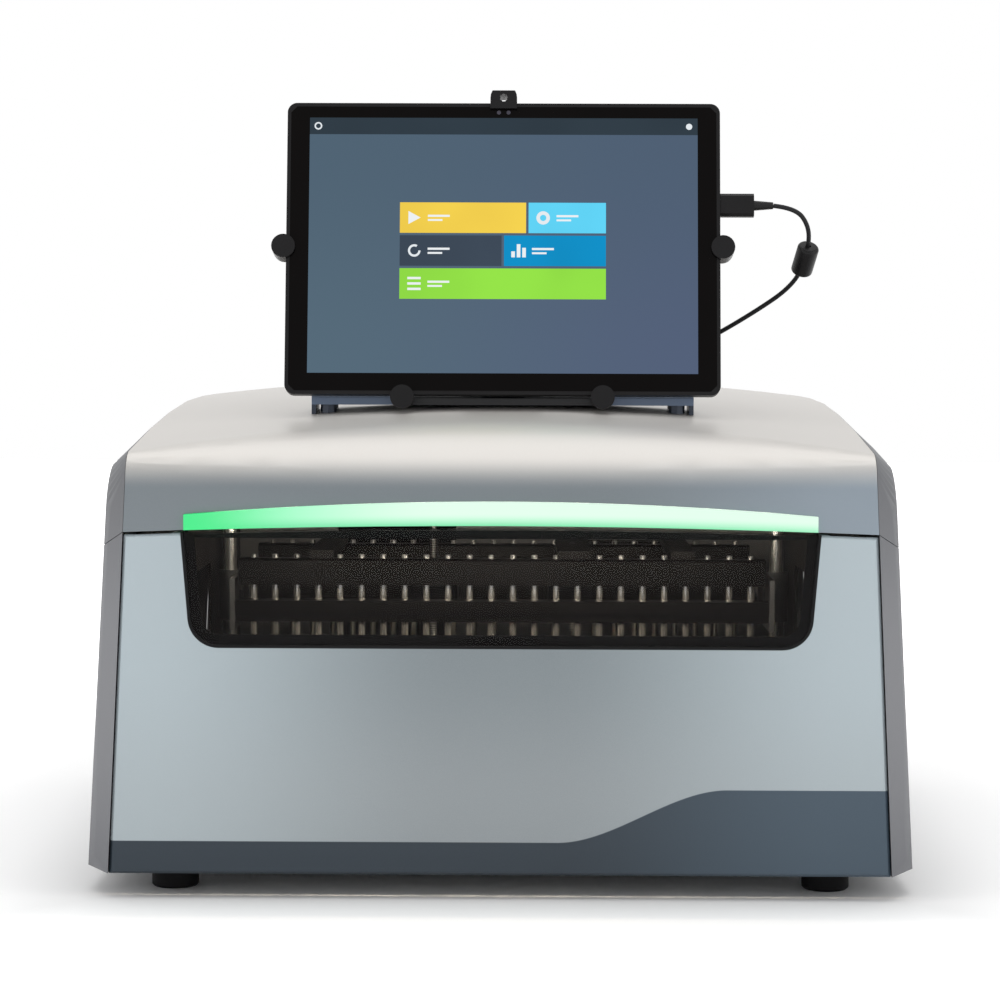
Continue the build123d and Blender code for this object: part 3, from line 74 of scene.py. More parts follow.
# ------------------------------------------------------------------ link cable
# Thin black PVC cable from the tablet's plug through a ferrite sleeve to the rubber gland in the roof.
# It hangs beside the tablet.
class Socket:
    """Output of a shader node; each sum on it adds one Math node."""

    def __init__(self, job, output):
        self.job = job
        self.output = output

    def _sum(self, operation, *values):
        return self.job.node("ShaderNodeMath", {"operation": operation}, dict(enumerate(values)))

    def __add__(self, other):
        return self._sum("ADD", self, other)

    __radd__ = __add__

    def __sub__(self, other):
        return self._sum("SUBTRACT", self, other)

    def __rsub__(self, other):
        return self._sum("SUBTRACT", other, self)

    def __mul__(self, other):
        return self._sum("MULTIPLY", self, other)

    __rmul__ = __mul__

    def __abs__(self):
        return self._sum("ABSOLUTE", self)

    def highest(self, other):
        """The larger of two, point by point."""
        return self._sum("MAXIMUM", self, other)

    def sine(self):
        """Sine of an angle in radians."""
        return self._sum("SINE", self)

    def between(self, low, high):
        """0 below low, 1 above high, smooth in the middle."""
        return self.job.node("ShaderNodeMapRange", {"interpolation_type": "SMOOTHSTEP"},
                             {"Value": self, "From Min": low, "From Max": high})


class Nodes:
    """Node tree of a material or of the room's light."""

    def __init__(self, tree):
        self.tree = tree

    def feed(self, socket, value):
        """Put a number, a colour or a socket into an input."""
        if isinstance(value, Socket):
            self.tree.links.new(value.output, socket)
        else:
            socket.default_value = value

    def node(self, kind, settings, inputs, output=0):
        """A node of a kind: its settings first, then its sockets."""
        made = self.tree.nodes.new(kind)
        for name, value in settings.items():
            setattr(made, name, value)
        for key, value in inputs.items():
            self.feed(made.inputs[key], value)
        return Socket(self, made.outputs[output])


class Finish(Nodes):
    """One material: a Principled shader and the nodes that feed it."""

    def __init__(self, name, **fixed):
        self.material = bpy.data.materials.new(name)
        self.material.use_nodes = True
        super().__init__(self.material.node_tree)
        self.tree.nodes.clear()
        self.shader = self.tree.nodes.new("ShaderNodeBsdfPrincipled")
        out = self.tree.nodes.new("ShaderNodeOutputMaterial")
        self.tree.links.new(self.shader.outputs[0], out.inputs["Surface"])
        self.set(**fixed)

    def set(self, **inputs):
        """Shader inputs by name, with underscores for the blanks."""
        for name, value in inputs.items():
            self.feed(self.shader.inputs[name.replace("_", " ")], value)

    def place(self, axis=None):
        """Object coordinates in metres, or one of them."""
        where = self.node("ShaderNodeTexCoord", {}, {}, "Object")
        if axis is None:
            return where
        return self.node("ShaderNodeSeparateXYZ", {}, {0: where}, axis)

    def noise(self, scale, detail=2.0, stretch=None):
        """Noise of so many cells to the metre, stretched along the axes."""
        where = self.place()
        if stretch is not None:
            where = self.node("ShaderNodeMapping", {}, {"Vector": where, "Scale": stretch})
        return self.node("ShaderNodeTexNoise", {},
                         {"Vector": where, "Scale": scale, "Detail": detail})

    def mix(self, share, first, second):
        """Colour between two."""
        return self.node("ShaderNodeMix", {"data_type": "RGBA"}, {0: share, 6: first, 7: second}, 2)

    def bump(self, height, distance, strength=1.0):
        """Relief: height in 0 to 1 over a distance in metres."""
        normal = self.node("ShaderNodeBump", {},
                           {"Height": height, "Distance": distance, "Strength": strength})
        self.set(Normal=normal)


def srgb(red, green, blue):
    """Screen colour in 0 to 255 as a linear colour."""
    channels = [c / 255 for c in (red, green, blue)]
    linear = [c / 12.92 if c <= 0.04045 else ((c + 0.055) / 1.055) ** 2.4 for c in channels]
    return (*linear, 1.0)


def merge_points(mesh, reach, outward=False):
    """Merge the mesh's points that lie closer than reach, and turn its faces outwards if asked."""
    work = bmesh.new()
    work.from_mesh(mesh)
    bmesh.ops.remove_doubles(work, verts=work.verts, dist=reach)
    if outward:
        bmesh.ops.recalc_face_normals(work, faces=work.faces)
    work.to_mesh(mesh)
    work.free()


def surface_piece(name, patches, finish, wrap=False, closed=True, sharp=35):
    """One mesh from patches of points, count x rows x columns x 3: each patch is a grid of quads,
    joined round its columns when it wraps. Closed forms get their doubles merged and face out."""
    count, rows, columns, _ = patches.shape
    index = np.arange(count * rows * columns).reshape(count, rows, columns)
    if wrap:
        index = np.concatenate([index, index[:, :, :1]], axis=2)
    corners = [index[:, :-1, :-1], index[:, :-1, 1:], index[:, 1:, 1:], index[:, 1:, :-1]]
    quads = np.stack(corners, axis=-1).reshape(-1, 4)
    mesh = bpy.data.meshes.new(name)
    mesh.from_pydata(patches.reshape(-1, 3).tolist(), [], quads.tolist())
    if closed:
        merge_points(mesh, 0.000002, outward=True)
        mesh.polygons.foreach_set("use_smooth", np.ones(len(mesh.polygons), dtype=bool))
    piece = bpy.data.objects.new(name, mesh)
    bpy.context.scene.collection.objects.link(piece)
    mesh.materials.append(finish.material)
    if closed:
        piece.modifiers.new("edges", "EDGE_SPLIT").split_angle = math.radians(sharp)
    return piece


def turned(centres, profile, sides, axis=(0.0, 0.0, 1.0)):
    """Turned forms, one at each centre: every radius of the profile is carried round the axis as a
    circle, at its own height along that axis."""
    axis = np.array(axis) / np.linalg.norm(axis)
    side = np.cross(axis, (0.0, 1.0, 0.0) if abs(axis[1]) < 0.8 else (1.0, 0.0, 0.0))
    side = side / np.linalg.norm(side)
    angle = np.linspace(0, 2 * np.pi, sides, endpoint=False)[:, None]
    circle = np.cos(angle) * side + np.sin(angle) * np.cross(axis, side)
    radius, height = np.array(profile).T[:, :, None, None]
    return np.array(centres).reshape(-1, 1, 1, 3) + radius * circle + height * axis


def tube_along(path, radius, sides):
    """Round tube: a circle square to the path at each of its points, and a point at both ends."""
    along = np.gradient(path, axis=0)
    along = along / np.linalg.norm(along, axis=1, keepdims=True)
    side = np.cross(along, (0.0, 1.0, 0.0))
    side = side / np.linalg.norm(side, axis=1, keepdims=True)
    other = np.cross(along, side)
    angle = np.linspace(0, 2 * np.pi, sides, endpoint=False)[None, :, None]
    circle = np.cos(angle) * side[:, None] + np.sin(angle) * other[:, None]
    reach = np.concatenate([[0.0], np.full(len(path), radius), [0.0]])[:, None, None]
    ends = np.concatenate([[0], np.arange(len(path)), [len(path) - 1]])
    return (path[ends][:, None] + reach * circle[ends])[None]


CABLE_ROUTE = [     # millimetres, from the plug to the gland
    (222.8, -167.4, 549.9), (241.5, -167.0, 548.0), (252.5, -163.0, 533.5), (253.5, -153.0, 517.0),
    (249.0, -138.0, 496.5), (238.0, -124.0, 481.5), (218.0, -114.0, 467.0), (186.0, -105.0, 447.0),
    (146.0, -95.0, 425.5), (117.0, -85.6, 413.5), (97.0, -78.3, 407.3), (74.6, -70.6, 400.9),
]
CABLE_DIAMETER = 0.0038
CABLE_SIDES = 12

cable_points = [tuple(v / 1000 for v in p) for p in CABLE_ROUTE]
route = bpy.data.curves.new("cable_route", "CURVE")
route.dimensions = "3D"
route.resolution_u = 8
spline = route.splines.new("NURBS")
spline.points.add(len(cable_points) - 1)
for point, where in zip(spline.points, cable_points):
    point.co = (*where, 1)
spline.order_u = 3
spline.use_endpoint_u = True
route_object = bpy.data.objects.new("cable_route", route)
bpy.context.scene.collection.objects.link(route_object)
line = bpy.data.meshes.new_from_object(route_object)
cable_line = np.array([v.co for v in line.vertices])
bpy.data.objects.remove(route_object)
bpy.data.meshes.remove(line)

cable_skin = Finish("cable_skin", Specular_IOR_Level=0.25)
cable_grain = cable_skin.noise(900, 3)
cable_skin.set(Roughness=0.42 + 0.2 * cable_grain,
               Base_Color=cable_skin.mix(cable_grain, srgb(12, 12, 14), srgb(24, 24, 27)))
cable_skin.bump(cable_grain, 0.00015, 0.4)
cord = surface_piece("link_cord", tube_along(cable_line, CABLE_DIAMETER / 2, CABLE_SIDES),
                     cable_skin, wrap=True, sharp=60)

# ------------------------------------------------------------------ ferrite sleeve
# Black sleeve with rounded ends, moulded over the ferrite ring on the cable. It lies along the
# cable at the place of the ring.
moulded = Finish("black_moulding", Specular_IOR_Level=0.2)
moulding_grain = moulded.noise(1600, 3)
moulding_cloud = moulded.noise(18, 2)
moulded.set(Base_Color=moulded.mix(moulding_cloud, srgb(9, 8, 9), srgb(20, 19, 21)),
            Roughness=0.3 + 0.18 * moulding_grain)
moulded.bump(moulding_grain, 0.00012, 0.35)

SLEEVE_RADIUS = 0.009
SLEEVE_BORE = 0.0019
SLEEVE_ROUND = 0.003
SLEEVE_SIDES = 32

sleeve_points = np.array([v.co for v in nodes["link_ferrite"].data.vertices])
sleeve_middle = (sleeve_points.max(axis=0) + sleeve_points.min(axis=0)) / 2
nearest = int(np.argmin(np.linalg.norm(cable_line - sleeve_middle, axis=1)))
sleeve_axis = cable_line[nearest - 3] - cable_line[nearest + 3]
sleeve_axis = sleeve_axis / np.linalg.norm(sleeve_axis)
sleeve_half = np.abs((sleeve_points - sleeve_middle) @ sleeve_axis).max()
bend = np.linspace(0, np.pi / 2, 6)
end_radius = SLEEVE_RADIUS - SLEEVE_ROUND + SLEEVE_ROUND * np.cos(bend)
end_height = sleeve_half - SLEEVE_ROUND + SLEEVE_ROUND * np.sin(bend)
bore_ends = [(SLEEVE_BORE, -sleeve_half), (SLEEVE_BORE, sleeve_half)]
lower_end = list(zip(end_radius[::-1], -end_height[::-1]))
upper_end = list(zip(end_radius, end_height))
sleeve_profile = bore_ends[:1] + lower_end + upper_end + bore_ends[::-1]
sleeve = turned([sleeve_middle], sleeve_profile, SLEEVE_SIDES, sleeve_axis)
ferrite = surface_piece("ferrite_sleeve", sleeve, moulded, wrap=True)
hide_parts("link_ferrite")
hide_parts("link_cable")
for piece in (cord, ferrite):
    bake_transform(piece)


# ------------------------------------------------------------------ hood
# Moulded cover over the whole top, sprayed with a fine satin silver, warm on the roof. The band
# where it turns down to the light bar carries a painted dark, cool reflection, lighter to the right.
def smooth_node(name, finish, sharp=32):
    """Weld a CAD node's loose triangles, shade them smooth up to an edge angle, and paint them."""
    piece = nodes[name]
    piece.data.materials.clear()
    piece.data.materials.append(finish.material)
    piece.data.polygons.foreach_set("use_smooth", np.ones(len(piece.data.polygons), dtype=bool))
    piece.modifiers.new("weld", "WELD").merge_threshold = 0.00002
    piece.modifiers.new("edges", "EDGE_SPLIT").split_angle = math.radians(sharp)


def sprayed(name, metallic):
    """Satin metallic paint: fine flake in the gloss and a faint orange peel in the relief."""
    paint = Finish(name, Metallic=metallic)
    flake = paint.noise(2600, 2)
    paint.set(Roughness=0.36 + 0.12 * flake)
    paint.bump(paint.noise(420, 2), 0.0003, 0.12)
    return paint, flake


PAINT_METAL = 0.3
BAND_TOP = (0.322, 0.348)   # height where the painted dark reflection on the band ends and the roof begins

hood_paint, hood_flake = sprayed("hood_silver", PAINT_METAL)
warm = hood_paint.mix(hood_flake, srgb(198, 194, 189), srgb(212, 209, 205))
# Painted reflection: the band where the hood turns down is darker and cooler than the roof, and
# lighter towards the right.
band_reflection_to_right = hood_paint.place(0).between(0.05, 0.3)
painted_band_reflection = hood_paint.mix(band_reflection_to_right, srgb(110, 118, 123), srgb(132, 144, 155))
painted_band_reflection = hood_paint.mix(hood_flake * 0.2, painted_band_reflection, srgb(190, 196, 202))
on_roof = hood_paint.place(2).between(*BAND_TOP)
hood_paint.set(Base_Color=hood_paint.mix(on_roof, painted_band_reflection, warm))
smooth_node("hood_shell", hood_paint)

# ------------------------------------------------------------------ door front
# Moulded front in cooler silver, with a painted reflection that darkens it down its middle. Its foot
# is painted slate, lighter to the right by painted reflection, and the top edge of that paint swings
# up in an S-curve to the right.
SLATE_LOW = 0.046           # height of the paint's edge on the left
SLATE_HIGH = 0.088          # and on the right
SLATE_BEND = (0.045, 0.178)     # from where to where it swings up
PAINT_EDGE = 0.0004         # softness of that edge, to each side

door_paint, door_flake = sprayed("door_silver", PAINT_METAL)
door_x = door_paint.place(0)
door_z = door_paint.place(2)
# Painted reflection: the silver is darker down the middle, most of all on its upper part, and lighter
# towards the sides.
reflection_to_sides = abs(door_x).between(0.03, 0.29)
upper = door_paint.mix(reflection_to_sides, srgb(112, 122, 127), srgb(168, 181, 187))
lower = door_paint.mix(reflection_to_sides, srgb(134, 141, 145), srgb(164, 175, 180))
silver = door_paint.mix(door_z.between(0.07, 0.2), lower, upper)
silver = door_paint.mix(door_flake * 0.16, silver, srgb(235, 238, 240))
slate_edge = SLATE_LOW + (SLATE_HIGH - SLATE_LOW) * door_x.between(*SLATE_BEND)
foot = 1 - (door_z - slate_edge).between(-PAINT_EDGE, PAINT_EDGE)
# The slate also carries a painted reflection, lighter to the right.
slate = door_paint.mix(door_x.between(0.04, 0.27), srgb(34, 44, 53), srgb(64, 79, 92))
slate = door_paint.mix(door_flake * 0.12, slate, srgb(120, 134, 148))
door_paint.set(Base_Color=door_paint.mix(foot, silver, slate))
smooth_node("door_shell", door_paint)

# ------------------------------------------------------------------ side panels and hood cheeks
# Moulded sides of the body and of the hood in graphite satin, with the same flake as the silver.
# Painted shade darkens the tone towards the roof.
graphite, graphite_flake = sprayed("graphite_paint", PAINT_METAL)
# Painted shade: the sides darken as they rise towards the roof.
painted_shade_up_side = graphite.place(2).between(0.2, 0.34)
tone_with_painted_shade = graphite.mix(painted_shade_up_side, srgb(86, 87, 92), srgb(52, 54, 60))
graphite.set(Base_Color=graphite.mix(graphite_flake * 0.16, tone_with_painted_shade, srgb(150, 153, 160)))
for name in ("hood_cheek_left", "hood_cheek_right", "side_panel_left", "side_panel_right"):
    smooth_node(name, graphite)

# ------------------------------------------------------------------ light bar
# Frosted acrylic lens over a row of green lamps. It glows almost white where the lamps are close
# behind it and a deeper green at its left end and along its lower edge.
BAR_HALF = 0.2465           # from the middle to an end
BAR_LOW_END = 0.2882        # height of the lower edge at an end
BAR_LOW_RISE = 0.006        # of the lower edge from an end to the middle

glow = Finish("bar_glow", Base_Color=srgb(36, 66, 50), Roughness=0.28, Emission_Strength=0.95)
along_bar = glow.place(0)
bar_height = glow.place(2)
bar_share = along_bar * (1 / BAR_HALF)
low_edge = BAR_LOW_END + BAR_LOW_RISE * (1 - bar_share * bar_share)
over_edge = bar_height - low_edge
whiteness = along_bar.between(-0.25, -0.04) * over_edge.between(-0.003, 0.010)
left_end = 1 - along_bar.between(-0.24, -0.14)
green = glow.mix(over_edge.between(0.0, 0.01), srgb(88, 224, 154), srgb(104, 250, 176))
green = glow.mix(left_end, green, srgb(40, 232, 128))
glow.set(Emission_Color=glow.mix(whiteness, green, srgb(226, 250, 234)))
smooth_node("light_bar", glow)

# ------------------------------------------------------------------ door window, gasket and liner
# Smoked acrylic pane in a black rubber gasket, held by a dark sheet liner behind the front. The
# same rubber makes the feet and the cable gland.
pane = Finish("smoked_pane", Base_Color=srgb(12, 8, 8), Specular_IOR_Level=0.12)
smear = pane.noise(30, 3)
pane.set(Roughness=0.05 + 0.05 * smear, Alpha=0.3 + 0.1 * smear)
smooth_node("door_window", pane)

rubber = Finish("black_rubber", Specular_IOR_Level=0.2)
rubber_grain = rubber.noise(1100, 4)
rubber.set(Base_Color=rubber.mix(rubber_grain, srgb(12, 12, 13), srgb(24, 24, 26)),
           Roughness=0.6 + 0.22 * rubber_grain)
rubber.bump(rubber_grain, 0.0002, 0.5)
for name in ("window_gasket", "rubber_feet", "cable_gland"):
    smooth_node(name, rubber)

liner = Finish("liner_black", Roughness=0.55, Specular_IOR_Level=0.2)
liner_grain = liner.noise(1500, 3)
liner.set(Base_Color=liner.mix(liner_grain, srgb(14, 14, 17), srgb(26, 26, 30)))
liner.bump(liner_grain, 0.00015, 0.4)

# The pane shows only a narrow lip of the liner. In this copy of the sheet the points of the opening
# move out from the middle, down to the lip, and up in proportion.
OPENING_HALF = 0.2345
OPENING_LOW = 0.212
OPENING_TOP = 0.2755
LIP_SIDE = 1.04             # how much wider the opening gets
LIP_LOW = 0.203             # height of its new lower edge
LIP_STRETCH = 1.28          # how much taller it gets
WELD_REACH = 0.00002

liner_mesh = nodes["door_liner"].data.copy()
merge_points(liner_mesh, WELD_REACH)
sheet = np.empty(len(liner_mesh.vertices) * 3)
liner_mesh.vertices.foreach_get("co", sheet)
sheet = sheet.reshape(-1, 3)
on_opening = ((np.abs(sheet[:, 0]) < OPENING_HALF) & (sheet[:, 2] > OPENING_LOW - 0.001)
              & (sheet[:, 2] < OPENING_TOP))
sheet[on_opening, 0] *= LIP_SIDE
sheet[on_opening, 2] = LIP_LOW + (sheet[on_opening, 2] - OPENING_LOW) * LIP_STRETCH
liner_mesh.vertices.foreach_set("co", sheet.ravel())
liner_mesh.materials.clear()
liner_mesh.materials.append(liner.material)
window_liner = bpy.data.objects.new("window_liner", liner_mesh)
bpy.context.scene.collection.objects.link(window_liner)
window_liner.modifiers.new("edges", "EDGE_SPLIT").split_angle = math.radians(32)
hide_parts("door_liner")
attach(window_liner, "door")

# ------------------------------------------------------------------ sheet-metal frame
# Folded steel sheet with a grey textured powder coat: base pan, rear panel, power supply and
# platform. The frame plates, hinge arms, brackets and bridge inside are coated nearly black.
coat = Finish("grey_powder_coat")
coat_pebble = coat.noise(1300, 2)
coat_cloud = coat.noise(6, 3)
coat.set(Base_Color=coat.mix(coat_cloud, srgb(160, 162, 165), srgb(178, 180, 182)),
         Roughness=0.45 + 0.2 * coat_pebble)
coat.bump(coat_pebble, 0.0002, 0.6)
for name in ("base_pan", "rear_panel", "power_supply", "platform_plate"):
    smooth_node(name, coat)

inner_coat = Finish("dark_powder_coat", Specular_IOR_Level=0.25)
inner_pebble = inner_coat.noise(1300, 2)
inner_coat.set(Base_Color=inner_coat.mix(inner_pebble, srgb(20, 18, 18), srgb(34, 31, 31)),
               Roughness=0.45 + 0.2 * inner_pebble)
inner_coat.bump(inner_pebble, 0.0002, 0.25)
for name in ("frame_plates", "hinge_arms", "shaft_brackets", "head_bridge"):
    smooth_node(name, inner_coat)

# ------------------------------------------------------------------ shafts, screws and slides
# Ground steel shafts and pins with fine scratches along them, zinc-plated rolled slides with a
# faint spangle, and lift screws with a two-millimetre thread.
steel = Finish("ground_steel", Metallic=0.85)
steel_line = steel.noise(500, 2, stretch=(1, 1, 0.04))
steel.set(Base_Color=steel.mix(steel_line, srgb(206, 207, 207), srgb(236, 235, 232)),
          Roughness=0.2 + 0.16 * steel_line)
for name in ("guide_shafts", "door_hinge_pins", "tilt_pin"):
    smooth_node(name, steel)

zinc = Finish("zinc_steel", Metallic=0.95)
zinc_spangle = zinc.noise(120, 4)
zinc.set(Base_Color=zinc.mix(zinc_spangle, srgb(172, 175, 180), srgb(203, 204, 206)),
         Roughness=0.28 + 0.2 * zinc_spangle)
for name in ("slide_outer", "slide_middle", "slide_inner"):
    smooth_node(name, zinc)

THREAD_PITCH = 0.002
thread = Finish("screw_thread", Metallic=1.0)
turn = (thread.place(2) * (2 * math.pi / THREAD_PITCH)).sine()
# Painted shade and highlight: the colour is dark in each groove of the thread and light on each crest.
thread.set(Base_Color=thread.mix(turn * 0.5 + 0.5, srgb(120, 120, 122), srgb(205, 205, 205)),
           Roughness=0.3)
thread.bump(turn * 0.5 + 0.5, 0.0004, 0.8)
for name in ("lift_screw", "magnet_screw"):
    smooth_node(name, thread)

# ------------------------------------------------------------------ lift head
# Black-anodised bars carry the plungers and the magnet rods; the castings at their ends are
# bead-blasted aluminium.
anodised = Finish("black_anodised", Metallic=0.3, Specular_IOR_Level=0.3)
anodised_grain = anodised.noise(900, 3, stretch=(0.08, 1, 1))
anodised.set(Base_Color=anodised.mix(anodised_grain, srgb(6, 5, 6), srgb(15, 13, 13)),
             Roughness=0.34 + 0.16 * anodised_grain)
for name in ("magnet_bars", "magnet_rails", "plunger_bars"):
    smooth_node(name, anodised)

blasted = Finish("blasted_aluminium", Metallic=0.9)
blasted_grain = blasted.noise(1800, 3)
blasted.set(Base_Color=blasted.mix(blasted_grain, srgb(120, 121, 124), srgb(150, 151, 153)),
            Roughness=0.42 + 0.15 * blasted_grain)
blasted.bump(blasted_grain, 0.0001, 0.4)
for name in ("carriage_beam", "carriage_ends", "board_posts", "heater_plate"):
    smooth_node(name, blasted)

# Magnet rods: two rows of round stainless tubes with domed tips, one row in each magnet bar.
COLUMNS = 24
HEXAGON_CORNER = 0.003      # of the six-sided rods in the frame, from their middle
HEXAGON_FLAT = HEXAGON_CORNER * math.cos(math.radians(30))
ROD_RADIUS = 0.00285        # clears the flats of the six-sided bores
ROD_TIP = [(0, 0), (0.0013, 0.0002), (0.0024, 0.001), (ROD_RADIUS, 0.003)]
ROD_SIDES = 16

rods_low, rods_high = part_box("magnet_rods")
columns = np.linspace(rods_low[0] + HEXAGON_CORNER, rods_high[0] - HEXAGON_CORNER, COLUMNS)
rows = (rods_low[1] + HEXAGON_FLAT, rods_high[1] - HEXAGON_FLAT)
rod_length = rods_high[2] - rods_low[2]
rod_profile = ROD_TIP + [(ROD_RADIUS, rod_length), (0, rod_length)]
rod_places = [(x, y, rods_low[2]) for y in rows for x in columns]
polished = Finish("polished_steel", Metallic=0.8)
polish_line = polished.noise(260, 2, stretch=(1, 1, 0.05))
polished.set(Base_Color=polished.mix(polish_line, srgb(222, 219, 212), srgb(244, 242, 238)),
             Roughness=0.07 + 0.09 * polish_line)
rods = surface_piece("round_rods", turned(rod_places, rod_profile, ROD_SIDES), polished,
                     wrap=True)
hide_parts("magnet_rods")
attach(rods, "magnet")

# Stainless cap screws stand in the top of the magnet bars, one over each rod clear of the rails.
SCREW_HEAD = [(0, 0.0012), (0.0011, 0.0012), (0.0011, 0.003), (0.0021, 0.003), (0.0026, 0.0025),
              (0.0026, 0.0), (0, 0.0)]
SCREW_SIDES = 14
RAIL_MIDDLE = 0.15
RAIL_CLEAR = 0.014

bar_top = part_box("magnet_bars")[1][2]
clear_columns = [x for x in columns if abs(abs(x) - RAIL_MIDDLE) > RAIL_CLEAR]
screw_places = [(x, y, bar_top) for y in rows for x in clear_columns]
cap_screws = surface_piece("bar_screws", turned(screw_places, SCREW_HEAD, SCREW_SIDES), steel,
                           wrap=True)
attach(cap_screws, "magnet")

# ------------------------------------------------------------------ lift motors and circuit board
# Stepper motors are lacquered black over their stacked sheets; the board behind them is green
# solder mask with parts on it.
motor = Finish("motor_lacquer")
motor_layers = motor.noise(700, 2, stretch=(0.05, 0.05, 1))
motor.set(Base_Color=motor.mix(motor_layers, srgb(18, 18, 20), srgb(38, 38, 40)),
          Roughness=0.28 + 0.2 * motor_layers)
smooth_node("lift_motors", motor)

board = Finish("solder_mask", Roughness=0.35)
board_cell = board.node("ShaderNodeTexVoronoi", {"distance": "CHEBYCHEV"},
                        {"Vector": board.place(), "Scale": 90}, "Distance")
board.set(Base_Color=board.mix(board_cell.between(0.28, 0.4), srgb(18, 84, 48), srgb(30, 112, 66)))
board.bump(board_cell, 0.0004, 0.5)
smooth_node("control_board", board)

# ------------------------------------------------------------------ deck trays
# Vacuum-formed natural plastic with a fine matt grain and a faint cloud in its tone. The front and
# the rear tray lie on the platform plate.
tray = Finish("tray_moulding", Subsurface_Weight=0.08, Subsurface_Radius=(0.004, 0.003, 0.002))
tray_cloud = tray.noise(25, 3)
tray_grain = tray.noise(1500, 2)
tray.set(Base_Color=tray.mix(tray_cloud, srgb(214, 213, 206), srgb(228, 228, 224)),
         Roughness=0.42 + 0.16 * tray_grain)
tray.bump(tray_grain, 0.00012, 0.4)
for name in ("deck_tray_front", "deck_tray_rear"):
    smooth_node(name, tray)

# ------------------------------------------------------------------ ultraviolet lamp
# Clear glass tube with frosted ends, pushed into two black holders under the hood. The frost
# covers the electrodes.
lamp_glass = Finish("lamp_glass", Base_Color=srgb(214, 222, 232))
frost = abs(lamp_glass.place(0)).between(0.2, 0.235)
lamp_glass.set(Roughness=0.08 + 0.5 * frost, Alpha=0.6 + 0.4 * frost)
smooth_node("uv_tube", lamp_glass)

# ------------------------------------------------------------------ tablet, claws and plug
# Black moulded shell with a glossy cover glass; the holder's claws and the cable's plug are the
# same black plastic.
for name in ("tablet_body", "holder_back", "link_plug", "claw_left", "claw_right", "claw_top",
             "claws_bottom", "tablet_power_button", "tablet_volume_rocker", "uv_lamp_holders"):
    smooth_node(name, moulded)

cover_glass = Finish("cover_glass", Specular_IOR_Level=0.06)
print_smear = cover_glass.noise(22, 3)
cover_glass.set(Base_Color=cover_glass.mix(print_smear, srgb(5, 3, 3), srgb(10, 7, 7)),
                Roughness=0.06 + 0.07 * print_smear)
smooth_node("tablet_glass", cover_glass)

# ------------------------------------------------------------------ tablet picture
# The tablet's lit display: a slate-blue desk, a darker bar along its top, and coloured buttons with
# a plain sign and two pale strips each. Its thin layers lie one on another on the cover glass.
SCREEN_HALF = 160.0         # half width, mm; the heights are from the glass's foot
SCREEN_LOW = 14.5
SCREEN_HIGH = 227.5
TITLE = 14.0
LIFT = 0.12                 # of one layer over the one below, mm
DESK_LAYER = 1
TILE_LAYER = 2
SIGN_LAYER = 3

glass_mesh = nodes["tablet_glass"].data
largest = max((f for f in glass_mesh.polygons if f.normal.y < -0.5), key=lambda f: f.area)
glass_out = np.array(largest.normal)
glass_right = np.array((1.0, 0.0, 0.0))
glass_up = np.cross(glass_out, glass_right)
glass_up = glass_up * np.sign(glass_up[2])
glass_points = np.array([v.co for v in glass_mesh.vertices])
glass_face = (glass_points @ glass_out).max()
glass_foot = (glass_points @ glass_up).min()


def on_glass(right, up, layer):
    """Millimetres right and up on the glass, as points so many layers over it."""
    rise = glass_foot + up[..., None] / 1000
    return (right[..., None] / 1000 * glass_right + rise * glass_up
            + (glass_face + layer * LIFT / 1000) * glass_out)


def slab(left, right, low, high, layer):
    """Flat patch between two sides and two heights."""
    patch_x, patch_z = np.meshgrid((left, right), (low, high))
    return on_glass(patch_x, patch_z, layer)


def ring(right, up, inner, outer, layer, start=0.0, stop=360.0):
    """Flat ring or part of one: radius from outer to inner, angle between two ends in degrees."""
    steps = np.radians(np.linspace(start, stop, 25))
    angle, radius = np.meshgrid(steps, (outer, max(inner, 0.01)))
    return on_glass(right + radius * np.cos(angle), up + radius * np.sin(angle), layer)


def lit(name, patches):
    """Patches that glow behind a glossy black face; the glow's colour is still to be set."""
    light = Finish(name, Base_Color=srgb(6, 6, 8), Roughness=0.12, Specular_IOR_Level=0.06,
                   Emission_Strength=0.93)
    piece = surface_piece(name, np.array(patches), light, closed=False)
    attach(piece, "tablet")
    return light


def picture(name, patches, colour, tone=0.06):
    """Lit patches of one colour, dimmer and brighter by a share in soft clouds, as a backlight is."""
    light = lit(name, patches)
    uneven = light.noise(9, 2)
    dim = tuple(c * (1 - tone) for c in colour[:3]) + (1.0,)
    bright = tuple(min(1.0, c * (1 + tone)) for c in colour[:3]) + (1.0,)
    light.set(Emission_Color=light.mix(uneven.between(0.35, 0.65), dim, bright))


desk = lit("screen_desk", [slab(-SCREEN_HALF, SCREEN_HALF, SCREEN_LOW, SCREEN_HIGH, DESK_LAYER)])
desk_side = desk.place(0).between(-0.16, 0.16)
desk_height = desk.place(2).between(0.42, 0.6)
desk_tone = desk.mix(desk_side, srgb(86, 108, 124), srgb(84, 98, 124))
desk.set(Emission_Color=desk.mix(desk_height * 0.6, desk_tone, srgb(76, 96, 114)))
title_patch = slab(-SCREEN_HALF, SCREEN_HALF, SCREEN_HIGH - TITLE, SCREEN_HIGH, TILE_LAYER)
picture("screen_title", [title_patch], srgb(45, 58, 68))

# Five buttons in three rows: two in the first, two in the second and one wide one in the third.
TILE_LEFT = -85.0
TILE_RIGHT = 84.5
TILE_TOP = 156.5
TILE_TALL = 25.5
TILE_GAP = 2.0
YELLOW_SHARE = 0.62         # of the first row's width
SLATE_SHARE = 0.5           # of the second row's width

